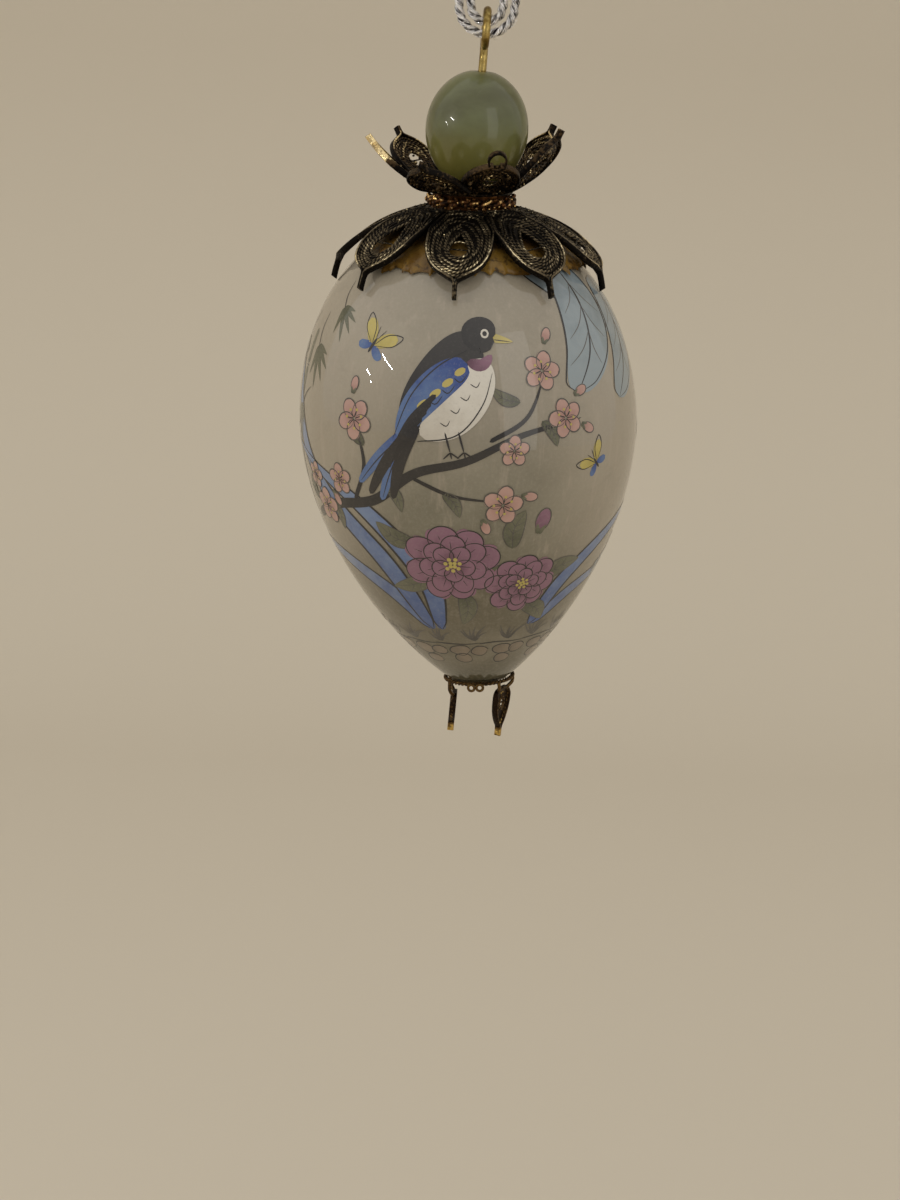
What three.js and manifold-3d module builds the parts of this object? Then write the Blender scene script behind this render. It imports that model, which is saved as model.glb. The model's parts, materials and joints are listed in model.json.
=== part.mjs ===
// Hanging glass egg: an egg painted on its inner wall, held in filigree mounts under a green stone
// bead, on a doubled silver cord. Millimetres, +Z up. The origin is the top of the cord's knot,
// where the ornament is held. Seen from the front, -Y is near and +X is to the right.
import * as THREE from "three";
import { mergeVertices } from "three/addons/utils/BufferGeometryUtils.js";
import Module from "manifold-3d";

const wasm = await Module();
wasm.setup();

// Seats and running fits
const seatGap = 0.3;

// Glass egg, blunt end up: the radius at height z is R (1 - (z / h)^power)^root in each half
const eggDiameter = 45;
const upperHalf = { height: 27, power: 2, root: 0.435 };
const lowerHalf = { height: 37.9, power: 1.81, root: 0.8 };
const glassWall = 1.5;
const mouthDiameter = 8.4;
const mouthLip = 1.1;
const footDiameter = 9.7;
const shoulderDepth = 21.5;
const shoulderBand = 9;

// How the pieces lean: all hand fitted, so that the crown and the pin aren't quite in line
const crownLean = THREE.MathUtils.degToRad(4);
const pinLean = THREE.MathUtils.degToRad(3.6);

// Aged adhesive under the big cap, with its plug in the mouth
const adhesiveThickness = 0.45;
const adhesiveSpread = THREE.MathUtils.degToRad(44);
const adhesiveWave = THREE.MathUtils.degToRad(1.6);
const plugDepth = 3.2;

// Filigree strip and wire
const stripHeight = 0.9;
const webHeight = 0.5;
const webFloor = 0.15;
const ribHeight = 0.72;
const petalGap = 0.35;
const hubThickness = 0.45;
const nibInlet = 0.35;
const barWidth = 0.32;
const barInlet = 0.3;
const barFloor = 0.2;

// Big cap over the shoulder: petals turned down
const capPetal = {
  count: 8,
  turn: -7,
  rootRadius: 5.9,
  length: 13.2,
  widestAt: 8.2,
  width: 8.5,
  openCentre: 8.9,
  openTail: 2.7,
  openHead: 1.2,
  openWidth: 2.3,
  nibLength: 2.6,
  ogee: 0.45,
  taper: 0.8,
  nibWidth: 0.85,
  loopSteps: 14,
};
const capHubDiameter = 12.6;
const capPetalLift = [0.12, 0.2, 0.12, 0.12, 0.22, 0.12, 0.1, 0.16];
const capPetalTurn = [0, -4, -7, 0, 1, 0, 0, 1];
const capNibDip = [1.1, 1.1, 1.45, 1.1, 1.2, 1.1, 1.3, 1.1];

// Upturned cup under the bead
const cupPetal = {
  count: 7,
  turn: 16,
  rootRadius: 4.8,
  length: 10,
  widestAt: 6.2,
  width: 7.4,
  openCentre: 6,
  openTail: 2.1,
  openHead: 1,
  openWidth: 1.9,
  nibLength: 1.6,
  ogee: 0.4,
  taper: 0.8,
  nibWidth: 0.85,
  loopSteps: 12,
};
const cupStartSlope = THREE.MathUtils.degToRad(26);
const cupBendRadius = 19;
const cupHubDiameter = 10.8;
const cupHubThickness = 0.45;
const petalSeat = 0.12;
const cupPetalOpen = [16, -4, -3, 0, 4, 7, 22];
const cupPetalTurn = [-4, 0, 0, 2, 7, 0, 9];
const openNib = { petal: 0, length: 1.9, width: 2, wire: 0.26, rise: 0.9 };

// Rope-wire collar between the cap and the cup
const collarDiameter = 10.8;
const collarWire = 1.2;
const collarTwists = 18;

// Bead on its pin
const beadDiameter = 13.4;
const beadHeight = 14.8;
const beadEnd = 3;

// Eye pin
const pinWire = 1.05;
const eyeInside = 3.8;
const eyeAboveBead = 2.35;
const eyeWrap = THREE.MathUtils.degToRad(335);
const pinFootLength = 2.4;
const pinFootBend = 1.1;
const eyeNeck = 2;

// Foot cap under the pointed end
const footWire = 0.6;
const footRingWire = 0.36;
const footRingDiameter = 0.86;
const footRingAzimuths = [-14, -0.5];
const footRingDrop = 0.42;
const leftLegDrop = 2.1;
const leftLegLength = 4.3;
const rightLegDrop = 1.3;
const rightLegLength = 5.7;
const legs = [
  { azimuth: -92, lean: -8, drop: leftLegDrop, length: leftLegLength },
  { azimuth: 64, lean: 9, drop: rightLegDrop, length: rightLegLength },
];
const legPetal = {
  widestAt: 1.4,
  width: 4.3,
  openCentre: 2.2,
  openTail: 0.9,
  openHead: 0.8,
  openWidth: 1.3,
  nibLength: 1.3,
  ogee: 0.2,
  taper: 1.4,
  nibWidth: 0.8,
  loopSteps: 10,
};
const legRadius = 3.05;
const legSpread = THREE.MathUtils.degToRad(30);
const shoulderWire = 0.5;
const footPlugDepth = 1.7;

// Silver cord: two turns through the eye, tied in a barrel knot
const cordDiameter = 1.25;
const knotTurns = 3;
const knotDiameter = 6;
const knotAboveEye = 15.5;

// Two turns' routes in X, Y and Z from the middle of the eye, chosen by hand
const outerRoute = [
  [-0.8, -0.8, 15.2],
  [-0.8, -0.8, 13.9],
  [-1.35, -0.72, 11.6],
  [-2.55, -0.48, 8.6],
  [-3.4, -0.2, 5.6],
  [-3.6, 0, 3],
  [-3.12, 0, 1.2],
  [-1.8, 0, -0.12],
  [0, 0, -0.6],
  [1.8, 0, -0.12],
  [3.12, 0, 1.2],
  [3.6, 0, 3],
  [3.5, -0.2, 5.6],
  [2.65, -0.48, 8.6],
  [1.4, -0.72, 11.6],
  [0.8, -0.8, 13.9],
  [0.8, -0.8, 15.2],
];
const innerRoute = [
  [-0.8, 0.8, 15.2],
  [-0.8, 0.8, 13.9],
  [-0.95, 0.8, 11.6],
  [-1.35, 0.58, 8.6],
  [-1.9, 0.25, 5.6],
  [-2.05, 0, 3],
  [-1.78, 0, 1.98],
  [-1.03, 0, 1.22],
  [0, 0, 0.95],
  [1.03, 0, 1.22],
  [1.78, 0, 1.98],
  [2.05, 0, 3],
  [1.95, 0.25, 5.6],
  [1.4, 0.58, 8.6],
  [0.95, 0.8, 11.6],
  [0.8, 0.8, 13.9],
  [0.8, 0.8, 15.2],
];

// Facets
const roundSteps = 32;
const hubSteps = 24;
const smallRoundSteps = 20;
const bedSteps = 28;
const cordSteps = 27;
const pinSteps = 36;
const wireSides = 8;
const thinWireSides = 6;
const ringSteps = 8;

// Colours and finishes
const darkBrass = new THREE.MeshStandardMaterial({ color: 0x4a3f31, roughness: 0.45, metalness: 0.9 });
const ropeBrass = new THREE.MeshStandardMaterial({ color: 0x7a4a22, roughness: 0.4, metalness: 0.9 });
const brightBrass = new THREE.MeshStandardMaterial({ color: 0xb08a3c, roughness: 0.28, metalness: 1 });
const greenStone = new THREE.MeshStandardMaterial({ color: 0x8b9a7c, roughness: 0.22, metalness: 0 });
const milkyGlass = new THREE.MeshStandardMaterial({ color: 0xb9b3a6, roughness: 0.08, metalness: 0 });
const amberGlue = new THREE.MeshStandardMaterial({ color: 0xa8822a, roughness: 0.35, metalness: 0 });
const silverCord = new THREE.MeshStandardMaterial({ color: 0xc9c9cf, roughness: 0.3, metalness: 0.7 });

// A closed mesh as a solid that can be joined and cut.
function solidOf(geometry) {
  const bare = geometry.clone();
  bare.deleteAttribute("normal");
  bare.deleteAttribute("uv");
  const merged = mergeVertices(bare, 1e-4);
  return new wasm.Manifold(
    new wasm.Mesh({
      numProp: 3,
      vertProperties: new Float32Array(merged.attributes.position.array),
      triVerts: new Uint32Array(merged.index.array),
    }),
  );
}

// A joined or cut solid as a geometry again.
function geometryOf(solid) {
  const mesh = solid.getMesh();
  const geometry = new THREE.BufferGeometry();
  geometry.setAttribute("position", new THREE.BufferAttribute(new Float32Array(mesh.vertProperties), 3));
  geometry.setIndex(new THREE.BufferAttribute(new Uint32Array(mesh.triVerts), 1));
  geometry.computeVertexNormals();
  return geometry;
}

// All of a list of geometries joined into one.
function joined(geometries) {
  const solids = geometries.map(solidOf);
  return geometryOf(solids.reduce((whole, next) => whole.add(next)));
}

// A closed outline of radius and height, counter-clockwise, turned once round Z.
function revolved(outline, steps) {
  const points = outline.map(([radius, height]) => new THREE.Vector2(radius, height));
  points.push(points[0].clone());
  return new THREE.LatheGeometry(points, steps).rotateX(Math.PI / 2);
}

// A round wire along a curve.
function wireAlong(curve, diameter, steps, sides) {
  const section = new THREE.Shape().absarc(0, 0, diameter / 2, 0, 2 * Math.PI, false);
  return new THREE.ExtrudeGeometry(section, {
    steps,
    curveSegments: sides / 2,
    bevelEnabled: false,
    extrudePath: curve,
  });
}

// A surface closed both ways, as a torus is: each section point is carried once round a loop.
function loopSurface(loopSteps, sectionCount, pointAt) {
  const positions = [];
  const index = [];
  for (let i = 0; i < loopSteps; i += 1) {
    for (let k = 0; k < sectionCount; k += 1) {
      positions.push(...pointAt((2 * Math.PI * i) / loopSteps, k));
      const nextRow = ((i + 1) % loopSteps) * sectionCount;
      const nextPoint = (k + 1) % sectionCount;
      const here = i * sectionCount + k;
      const beside = i * sectionCount + nextPoint;
      index.push(here, nextRow + k, nextRow + nextPoint, here, nextRow + nextPoint, beside);
    }
  }
  const geometry = new THREE.BufferGeometry();
  geometry.setAttribute("position", new THREE.Float32BufferAttribute(positions, 3));
  geometry.setIndex(index);
  return geometry;
}

// The egg's outer radius at a height, or the radius of a surface set in from it.
function eggRadius(height, inset) {
  const half = height > 0 ? upperHalf : lowerHalf;
  const share = Math.min(Math.abs(height) / (half.height - inset), 1);
  return (eggDiameter / 2 - inset) * (1 - share ** half.power) ** half.root;
}

// The distance above or below the widest ring at which a half of the egg has a given radius.
function eggHeight(half, radius, inset) {
  const share = radius / (eggDiameter / 2 - inset);
  return (half.height - inset) * (1 - share ** (1 / half.root)) ** (1 / half.power);
}

// Points of the egg's wall between two heights, closer together near the poles.
function eggWall(from, to, inset, count) {
  const points = [];
  for (let i = 0; i <= count; i += 1) {
    const height = from + ((to - from) * (1 - Math.cos((Math.PI * i) / count))) / 2;
    points.push([eggRadius(height, inset), height]);
  }
  return points;
}

// Points of a sphere's meridian about the shoulder's centre, from one angle off the axis to another.
function shoulderArc(radius, from, to, count) {
  const points = [];
  for (let i = 0; i <= count; i += 1) {
    const angle = from + ((to - from) * i) / count;
    points.push([radius * Math.sin(angle), shoulderCentre + radius * Math.cos(angle)]);
  }
  return points;
}

// A guide for a petal: an arc in radius and height, with its slope in radians and its curvature.
function arcGuide(startRadius, startHeight, startSlope, curvature) {
  return (along) => {
    const slope = startSlope + curvature * along;
    return {
      radius: startRadius + (Math.sin(slope) - Math.sin(startSlope)) / curvature,
      height: startHeight - (Math.cos(slope) - Math.cos(startSlope)) / curvature,
      slope,
    };
  };
}

// Where a petal of an even ring points, with its own hand-bent turn in degrees.
function petalAzimuth(petal, i, ownTurn) {
  return THREE.MathUtils.degToRad(petal.turn + (360 * i) / petal.count + ownTurn);
}

// A petal's own place (along, across, up) laid on its guide at an azimuth from the front.
function laid(guide, azimuth, along, across, up) {
  const at = guide(along);
  const radius = at.radius - up * Math.sin(at.slope);
  const height = at.height + up * Math.cos(at.slope);
  const right = Math.sin(azimuth);
  const near = -Math.cos(azimuth);
  return [radius * right - across * near, radius * near + across * right, height];
}

// A box in a petal's own place, laid on its guide.
function laidBar(guide, azimuth, from, to, halfWidth, low, high, dip) {
  const bar = new THREE.BoxGeometry(2 * halfWidth, to - from, high - low);
  const places = bar.attributes.position;
  for (let i = 0; i < places.count; i += 1) {
    const share = places.getY(i) / (to - from) + 0.5;
    const up = (low + high) / 2 + places.getZ(i) - dip * share;
    places.setXYZ(i, ...laid(guide, azimuth, from + share * (to - from), -places.getX(i), up));
  }
  return bar;
}

// A nib bent round in an open loop of strip that rises from the petal's end.
function loopNib(guide, azimuth, root, loop) {
  const section = [
    [0, 0],
    [0, stripHeight],
    [1, stripHeight],
    [1, 0],
  ];
  return loopSurface(12, section.length, (turn, k) => {
    const [share, up] = section[k];
    const reach = share * loop.wire;
    const along = (loop.length / 2 + reach) * (1 - Math.cos(turn)) - reach - loop.wire;
    const across = (loop.width / 2 - loop.wire + reach) * Math.sin(turn);
    return laid(guide, azimuth, root + along, across, up + (loop.rise * along) / loop.length);
  });
}

// A filigree petal: a rim strip on edge and a ribbed web round an opening that a bar crosses,
// with the strip's two ends brought together in a nib that dips, or bent round in a loop where one
// is given. limitAt bounds the width along the petal.
function petalOf(petal, guide, azimuth, limitAt, nibDip, loop = null) {
  const rimFrom = 0.88;
  const rootRoundness = 0.6;
  const ogeeSharpness = 40;
  const section = [
    [0, webFloor],
    [0, ribHeight],
    [0.18, ribHeight],
    [0.34, webHeight],
    [0.54, ribHeight],
    [rimFrom, webHeight],
    [rimFrom, stripHeight],
    [1, stripHeight],
    [1, 0],
  ];
  const endLength = petal.length - petal.widestAt;
  const band = loopSurface(petal.loopSteps, section.length, (turn, k) => {
    const [share, up] = section[k];
    const side = Math.sin(turn);
    const back = Math.cos(turn);
    const rootwards = back > 0;
    const ogee = rootwards ? 0 : petal.ogee * back ** ogeeSharpness;
    const reach = rootwards ? petal.widestAt * back ** rootRoundness : endLength * back;
    const outAlong = petal.widestAt - reach + ogee;
    const fullWidth = (petal.width / 2) * Math.abs(side) ** (rootwards ? rootRoundness : petal.taper);
    const outAcross = Math.sign(side) * Math.min(fullWidth, limitAt(outAlong));
    const openAlong = petal.openCentre - (rootwards ? petal.openTail : petal.openHead) * back;
    const openAcross = (petal.openWidth / 2) * side * Math.sin(turn / 2) ** (rootwards ? 1 : 0);
    const along = openAlong + share * (outAlong - openAlong);
    const across = openAcross + share * (outAcross - openAcross);
    return laid(guide, azimuth, along, across, up);
  });
  const nibRoot = petal.length - nibInlet;
  const nibEnd = petal.length + petal.nibLength;
  const nib = loop
    ? loopNib(guide, azimuth, petal.length, loop)
    : laidBar(guide, azimuth, nibRoot, nibEnd, petal.nibWidth / 2, 0, stripHeight, nibDip);
  const barFrom = petal.openCentre - barWidth / 2;
  const barReach = petal.openWidth / 2 + barInlet;
  const bar = laidBar(guide, azimuth, barFrom, barFrom + barWidth, barReach, barFloor, webHeight, 0);
  return [band, nib, bar];
}

// Places worked out from the sizes above, in the egg's own frame with its widest ring at zero.
const shoulderCentre = upperHalf.height - shoulderDepth;
const glassTop = eggHeight(upperHalf, mouthDiameter / 2 + mouthLip, 0);
const glassFoot = -eggHeight(lowerHalf, footDiameter / 2, 0);
const shoulderRadius = Math.max(
  ...eggWall(upperHalf.height - shoulderBand, glassTop, 0, 40).map(([radius, height]) =>
    Math.hypot(radius, height - shoulderCentre),
  ),
);
const adhesiveInside = shoulderRadius + seatGap;
const capInside = adhesiveInside + adhesiveThickness + seatGap;
const hubTopRadius = capInside + hubThickness;
const collarSeat = shoulderCentre + Math.sqrt(hubTopRadius ** 2 - (collarDiameter / 2) ** 2);
const collarHeight = collarSeat + seatGap + collarWire / 2;
const cupBase = collarHeight + collarWire / 2 + seatGap;
const cupTop = cupBase + cupHubThickness;
const boreRadius = pinWire / 2 + seatGap;
const beadBase = seatGap + (beadEnd / 2) * Math.sin(pinLean);
const eyeRadius = (eyeInside + pinWire) / 2;
const eyeHeight = beadBase + beadHeight + eyeAboveBead + eyeInside / 2 + pinWire;
const plugFoot = glassTop - plugDepth;
const pinFoot = plugFoot - seatGap - pinWire / 2;

function glassEgg() {
  const mouth = mouthDiameter / 2;
  const innerTop = eggHeight(upperHalf, mouth, glassWall);
  const outside = eggWall(glassFoot, glassTop, 0, 16);
  const inside = eggWall(innerTop, glassFoot, glassWall, 10);
  const lip = [
    [mouth + mouthLip * 0.45, glassTop + mouthLip * 0.04],
    [mouth, glassTop - mouthLip * 0.35],
  ];
  return revolved([...outside, ...lip, ...inside], roundSteps);
}

function adhesiveBed() {
  const arcSteps = 4;
  const flangeTop = 0.1;
  const flange = loopSurface(bedSteps, 2 * (arcSteps + 1), (turn, k) => {
    const edge = adhesiveSpread + adhesiveWave * (Math.sin(3 * turn) + 0.5 * Math.sin(7 * turn + 1));
    const outer = k > arcSteps;
    const share = (outer ? 2 * arcSteps + 1 - k : k) / arcSteps;
    const angle = flangeTop + (edge - flangeTop) * share;
    const radius = adhesiveInside + (outer ? adhesiveThickness : 0);
    const ring = radius * Math.sin(angle);
    return [ring * Math.cos(turn), ring * Math.sin(turn), shoulderCentre + radius * Math.cos(angle)];
  });
  const plugRadius = mouthDiameter / 2 - seatGap;
  const plugTop = shoulderCentre + adhesiveInside + adhesiveThickness / 2;
  const plug = new THREE.CylinderGeometry(plugRadius, plugRadius, plugTop - plugFoot, 16);
  plug.rotateX(Math.PI / 2).translate(0, 0, (plugTop + plugFoot) / 2 - shoulderCentre);
  plug.rotateY(-crownLean).translate(0, 0, shoulderCentre);
  const boreSides = 12;
  const boreReach = boreRadius / Math.cos(Math.PI / boreSides);
  const bore = new THREE.CylinderGeometry(boreReach, boreReach, 4 * plugDepth, boreSides);
  bore.rotateX(Math.PI / 2).translate(0, 0, plugTop - plugDepth);
  return geometryOf(solidOf(flange).add(solidOf(plug)).subtract(solidOf(bore)));
}

function capHub() {
  const from = Math.asin(boreRadius / capInside);
  const to = Math.asin(capHubDiameter / 2 / capInside);
  return revolved(
    [...shoulderArc(capInside, from, to, 2), ...shoulderArc(hubTopRadius, to, from, 2)],
    hubSteps,
  );
}

function filigreeCap() {
  const startAngle = Math.asin(capPetal.rootRadius / capInside);
  const pieces = [capHub()];
  capPetalLift.forEach((lift, i) => {
    const azimuth = petalAzimuth(capPetal, i, capPetalTurn[i]);
    const radius = capInside + lift;
    const startHeight = shoulderCentre + radius * Math.cos(startAngle);
    const guide = arcGuide(capPetal.rootRadius, startHeight, -startAngle, -1 / radius);
    const limitAt = (along) => guide(along).radius * Math.tan(Math.PI / capPetal.count) - petalGap / 2;
    pieces.push(...petalOf(capPetal, guide, azimuth, limitAt, capNibDip[i]));
  });
  return joined(pieces);
}

// Adhesive that fills the collar between the cap's hub and the cup's.
function collarAdhesive() {
  const radius = (collarDiameter - collarWire) / 2 - seatGap;
  const low = shoulderCentre + hubTopRadius + seatGap / 2;
  const high = cupBase - seatGap;
  return revolved(
    [
      [boreRadius, low],
      [radius, low],
      [radius, high],
      [boreRadius, high],
    ],
    smallRoundSteps,
  );
}

function filigreeCup() {
  const hubRadius = cupHubDiameter / 2;
  const hub = revolved(
    [
      [boreRadius, cupBase],
      [hubRadius, cupBase],
      [hubRadius, cupTop],
      [boreRadius, cupTop],
    ],
    hubSteps,
  );
  const pieces = [hub];
  cupPetalOpen.forEach((open, i) => {
    const azimuth = petalAzimuth(cupPetal, i, cupPetalTurn[i]);
    const slope = cupStartSlope - THREE.MathUtils.degToRad(open);
    const guide = arcGuide(cupPetal.rootRadius, cupBase + petalSeat, slope, 1 / cupBendRadius);
    const limitAt = (along) => guide(along).radius * Math.tan(Math.PI / cupPetal.count) - petalGap / 2;
    pieces.push(...petalOf(cupPetal, guide, azimuth, limitAt, 0, i === openNib.petal ? openNib : null));
  });
  return joined(pieces);
}

// A ring of two wires twisted into a rope: its round section swells on two sides that wind round it.
function ropeCollar() {
  const sides = 6;
  return loopSurface(collarTwists * 3, sides, (turn, k) => {
    const around = (2 * Math.PI * k) / sides;
    const swell = 0.86 + 0.14 * Math.cos(2 * around - collarTwists * turn);
    const radius = collarDiameter / 2 + (collarWire / 2) * swell * Math.cos(around);
    const height = collarHeight + (collarWire / 2) * swell * Math.sin(around);
    return [radius * Math.cos(turn), radius * Math.sin(turn), height];
  });
}

function stoneBead() {
  const half = beadHeight / 2;
  const endAngle = Math.asin(beadEnd / beadDiameter);
  const outline = [[boreRadius, beadBase]];
  const count = 12;
  for (let i = 0; i <= count; i += 1) {
    const angle = endAngle + ((Math.PI - 2 * endAngle) * i) / count;
    const height = (-half * Math.cos(angle)) / Math.cos(endAngle);
    outline.push([(beadDiameter / 2) * Math.sin(angle), beadBase + half + height]);
  }
  outline.push([boreRadius, beadBase + beadHeight]);
  return revolved(outline, smallRoundSteps);
}

// One wire: a foot turned under the plug, a straight stem that bends by pinLean above the cup,
// and an eye that wraps most of the way round.
function eyePin() {
  const leaned = new THREE.Vector3(Math.sin(pinLean), 0, Math.cos(pinLean));
  const bend = new THREE.Vector3(0, 0, cupTop);
  const along = (distance) => bend.clone().addScaledVector(leaned, distance);
  const centre = along(eyeHeight);
  const points = [
    new THREE.Vector3(pinFootLength, 0, pinFoot),
    new THREE.Vector3(pinFootBend, 0, pinFoot),
    new THREE.Vector3(pinFootBend * 0.3, 0, pinFoot + pinFootBend * 0.3),
    new THREE.Vector3(0, 0, pinFoot + pinFootBend),
    new THREE.Vector3(0, 0, (pinFoot + cupTop) / 2),
    new THREE.Vector3(0, 0, cupTop - 1),
    along(1),
    along((eyeHeight - eyeRadius) / 2),
    along(eyeHeight - eyeRadius - eyeNeck),
    along(eyeHeight - eyeRadius - eyeNeck / 2),
  ];
  const wrapFrom = THREE.MathUtils.degToRad(28);
  const wrapSteps = 14;
  for (let i = 0; i <= wrapSteps; i += 1) {
    const angle = wrapFrom + ((eyeWrap - wrapFrom) * i) / wrapSteps;
    const point = centre.clone().addScaledVector(leaned, -eyeRadius * Math.cos(angle));
    point.y += eyeRadius * Math.sin(angle);
    points.push(point);
  }
  return wireAlong(new THREE.CatmullRomCurve3(points, false, "centripetal"), pinWire, pinSteps, wireSides);
}

function footAdhesive() {
  const innerMouth = eggRadius(glassFoot, glassWall);
  const padTop = glassFoot - seatGap;
  const padRadius = footDiameter / 2 - footWire - seatGap;
  return revolved(
    [
      [0, padTop - footWire],
      [padRadius * 0.8, padTop - footWire],
      [padRadius, padTop - footWire * 0.6],
      [padRadius, padTop],
      [innerMouth - seatGap, padTop],
      [innerMouth - seatGap, padTop + footPlugDepth],
      [0, padTop + footPlugDepth],
    ],
    smallRoundSteps,
  );
}

function footCap() {
  const rimRadius = (footDiameter - footWire) / 2;
  const rimHeight = glassFoot - seatGap - footWire / 2;
  const rim = new THREE.TorusGeometry(rimRadius, footWire / 2, thinWireSides, hubSteps);
  const pieces = [rim.translate(0, 0, rimHeight)];
  for (const degrees of footRingAzimuths) {
    const ring = new THREE.TorusGeometry(footRingDiameter / 2, footRingWire / 2, thinWireSides, ringSteps);
    ring.rotateX(Math.PI / 2).translate(0, -footDiameter / 2, rimHeight - footRingDrop);
    pieces.push(ring.rotateZ(THREE.MathUtils.degToRad(degrees)));
  }
  for (const leg of legs) {
    const azimuth = THREE.MathUtils.degToRad(leg.azimuth);
    const slope = THREE.MathUtils.degToRad(-90 - leg.lean);
    const guide = arcGuide(legRadius, rimHeight - leg.drop, slope, 1e-4);
    pieces.push(...petalOf({ ...legPetal, length: leg.length }, guide, azimuth, () => legPetal.width, 0));
    for (const side of [-1, 1]) {
      const corner = laid(guide, azimuth, 0.35, (side * legPetal.width) / 3.2, stripHeight / 2);
      const rimAzimuth = azimuth + side * legSpread;
      const rimPoint = [rimRadius * Math.sin(rimAzimuth), -rimRadius * Math.cos(rimAzimuth), rimHeight];
      const middle = [
        0.3 * corner[0] + 0.74 * rimPoint[0],
        0.3 * corner[1] + 0.74 * rimPoint[1],
        0.6 * corner[2] + 0.4 * rimPoint[2],
      ];
      const curve = new THREE.CatmullRomCurve3(
        [rimPoint, middle, corner].map((point) => new THREE.Vector3(...point)),
      );
      pieces.push(wireAlong(curve, shoulderWire, 4, thinWireSides));
    }
  }
  return joined(pieces);
}

function cordTurn(route) {
  const points = route.map((point) => new THREE.Vector3(...point));
  const curve = new THREE.CatmullRomCurve3(points, false, "centripetal");
  return wireAlong(curve, cordDiameter, cordSteps, wireSides);
}

// The knot binds the four strands in a barrel of turns.
function cordKnot() {
  const pitch = cordDiameter;
  const core = (knotDiameter - cordDiameter) / 2;
  const outline = [[0, 0]];
  for (let i = 0; i < knotTurns; i += 1) {
    for (let k = 0; k <= 3; k += 1) {
      const angle = (Math.PI * (k - 1.5)) / 4;
      const bulge = (cordDiameter / 2) * Math.cos(angle);
      outline.push([core + bulge, pitch * (i + 0.5) + (cordDiameter / 2) * Math.sin(angle)]);
    }
  }
  outline.push([0, pitch * knotTurns]);
  return revolved(outline, 18);
}

function piece(name, geometry, material) {
  const mesh = new THREE.Mesh(geometry, material.clone());
  mesh.name = name;
  return mesh;
}

// The bead turns on the leaning part of the pin.
const beadSeat = new THREE.Group();
beadSeat.position.set(0, 0, cupTop);
beadSeat.rotation.y = pinLean;
beadSeat.add(piece("stone_bead", stoneBead(), greenStone));

// The crown leans over the shoulder about the centre of the shoulder's curve.
const crownPieces = new THREE.Group();
crownPieces.position.set(0, 0, -shoulderCentre);
crownPieces.add(piece("eye_pin", eyePin(), brightBrass));
crownPieces.add(piece("filigree_cup", filigreeCup(), darkBrass));
crownPieces.add(piece("rope_collar", ropeCollar(), ropeBrass));
crownPieces.add(piece("collar_adhesive", collarAdhesive(), amberGlue));
crownPieces.add(piece("filigree_cap", filigreeCap(), darkBrass));
crownPieces.add(piece("adhesive_bed", adhesiveBed(), amberGlue));
crownPieces.add(beadSeat);
const crown = new THREE.Group();
crown.position.set(0, 0, shoulderCentre);
crown.rotation.y = crownLean;
crown.add(crownPieces);

// The middle of the eye in the egg's frame, and the tilt at which the egg hangs plumb below it.
const eyeRise = cupTop - shoulderCentre;
const eyeX = eyeRise * Math.sin(crownLean) + eyeHeight * Math.sin(crownLean + pinLean);
const eyeZ = shoulderCentre + eyeRise * Math.cos(crownLean) + eyeHeight * Math.cos(crownLean + pinLean);
const plumbTilt = Math.atan2(eyeX, eyeZ);
const knotTop = knotAboveEye + knotTurns * cordDiameter;

const egg = new THREE.Group();
egg.position.set(0, 0, -knotTop - Math.hypot(eyeX, eyeZ));
egg.rotation.y = -plumbTilt;
egg.add(crown);
egg.add(piece("glass_egg", glassEgg(), milkyGlass));
egg.add(piece("foot_adhesive", footAdhesive(), amberGlue));
egg.add(piece("foot_cap", footCap(), darkBrass));

const cord = new THREE.Group();
cord.position.set(0, 0, -knotTop);
cord.add(piece("cord_outer_turn", cordTurn(outerRoute), silverCord));
cord.add(piece("cord_inner_turn", cordTurn(innerRoute), silverCord));
const knot = piece("cord_knot", cordKnot(), silverCord);
knot.position.set(0, 0, knotAboveEye);
cord.add(knot);

const group = new THREE.Group();
group.add(cord);
group.add(egg);

export default group;
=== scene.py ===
# A hollow glass egg, painted inside, hanging from a silver cord: filigree cap and cup, a green
# stone bead on a brass eye pin, and a small wire cap under the foot. Works in millimetres in the
# egg's own frame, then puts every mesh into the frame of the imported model, in metres.
import json
import math

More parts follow.
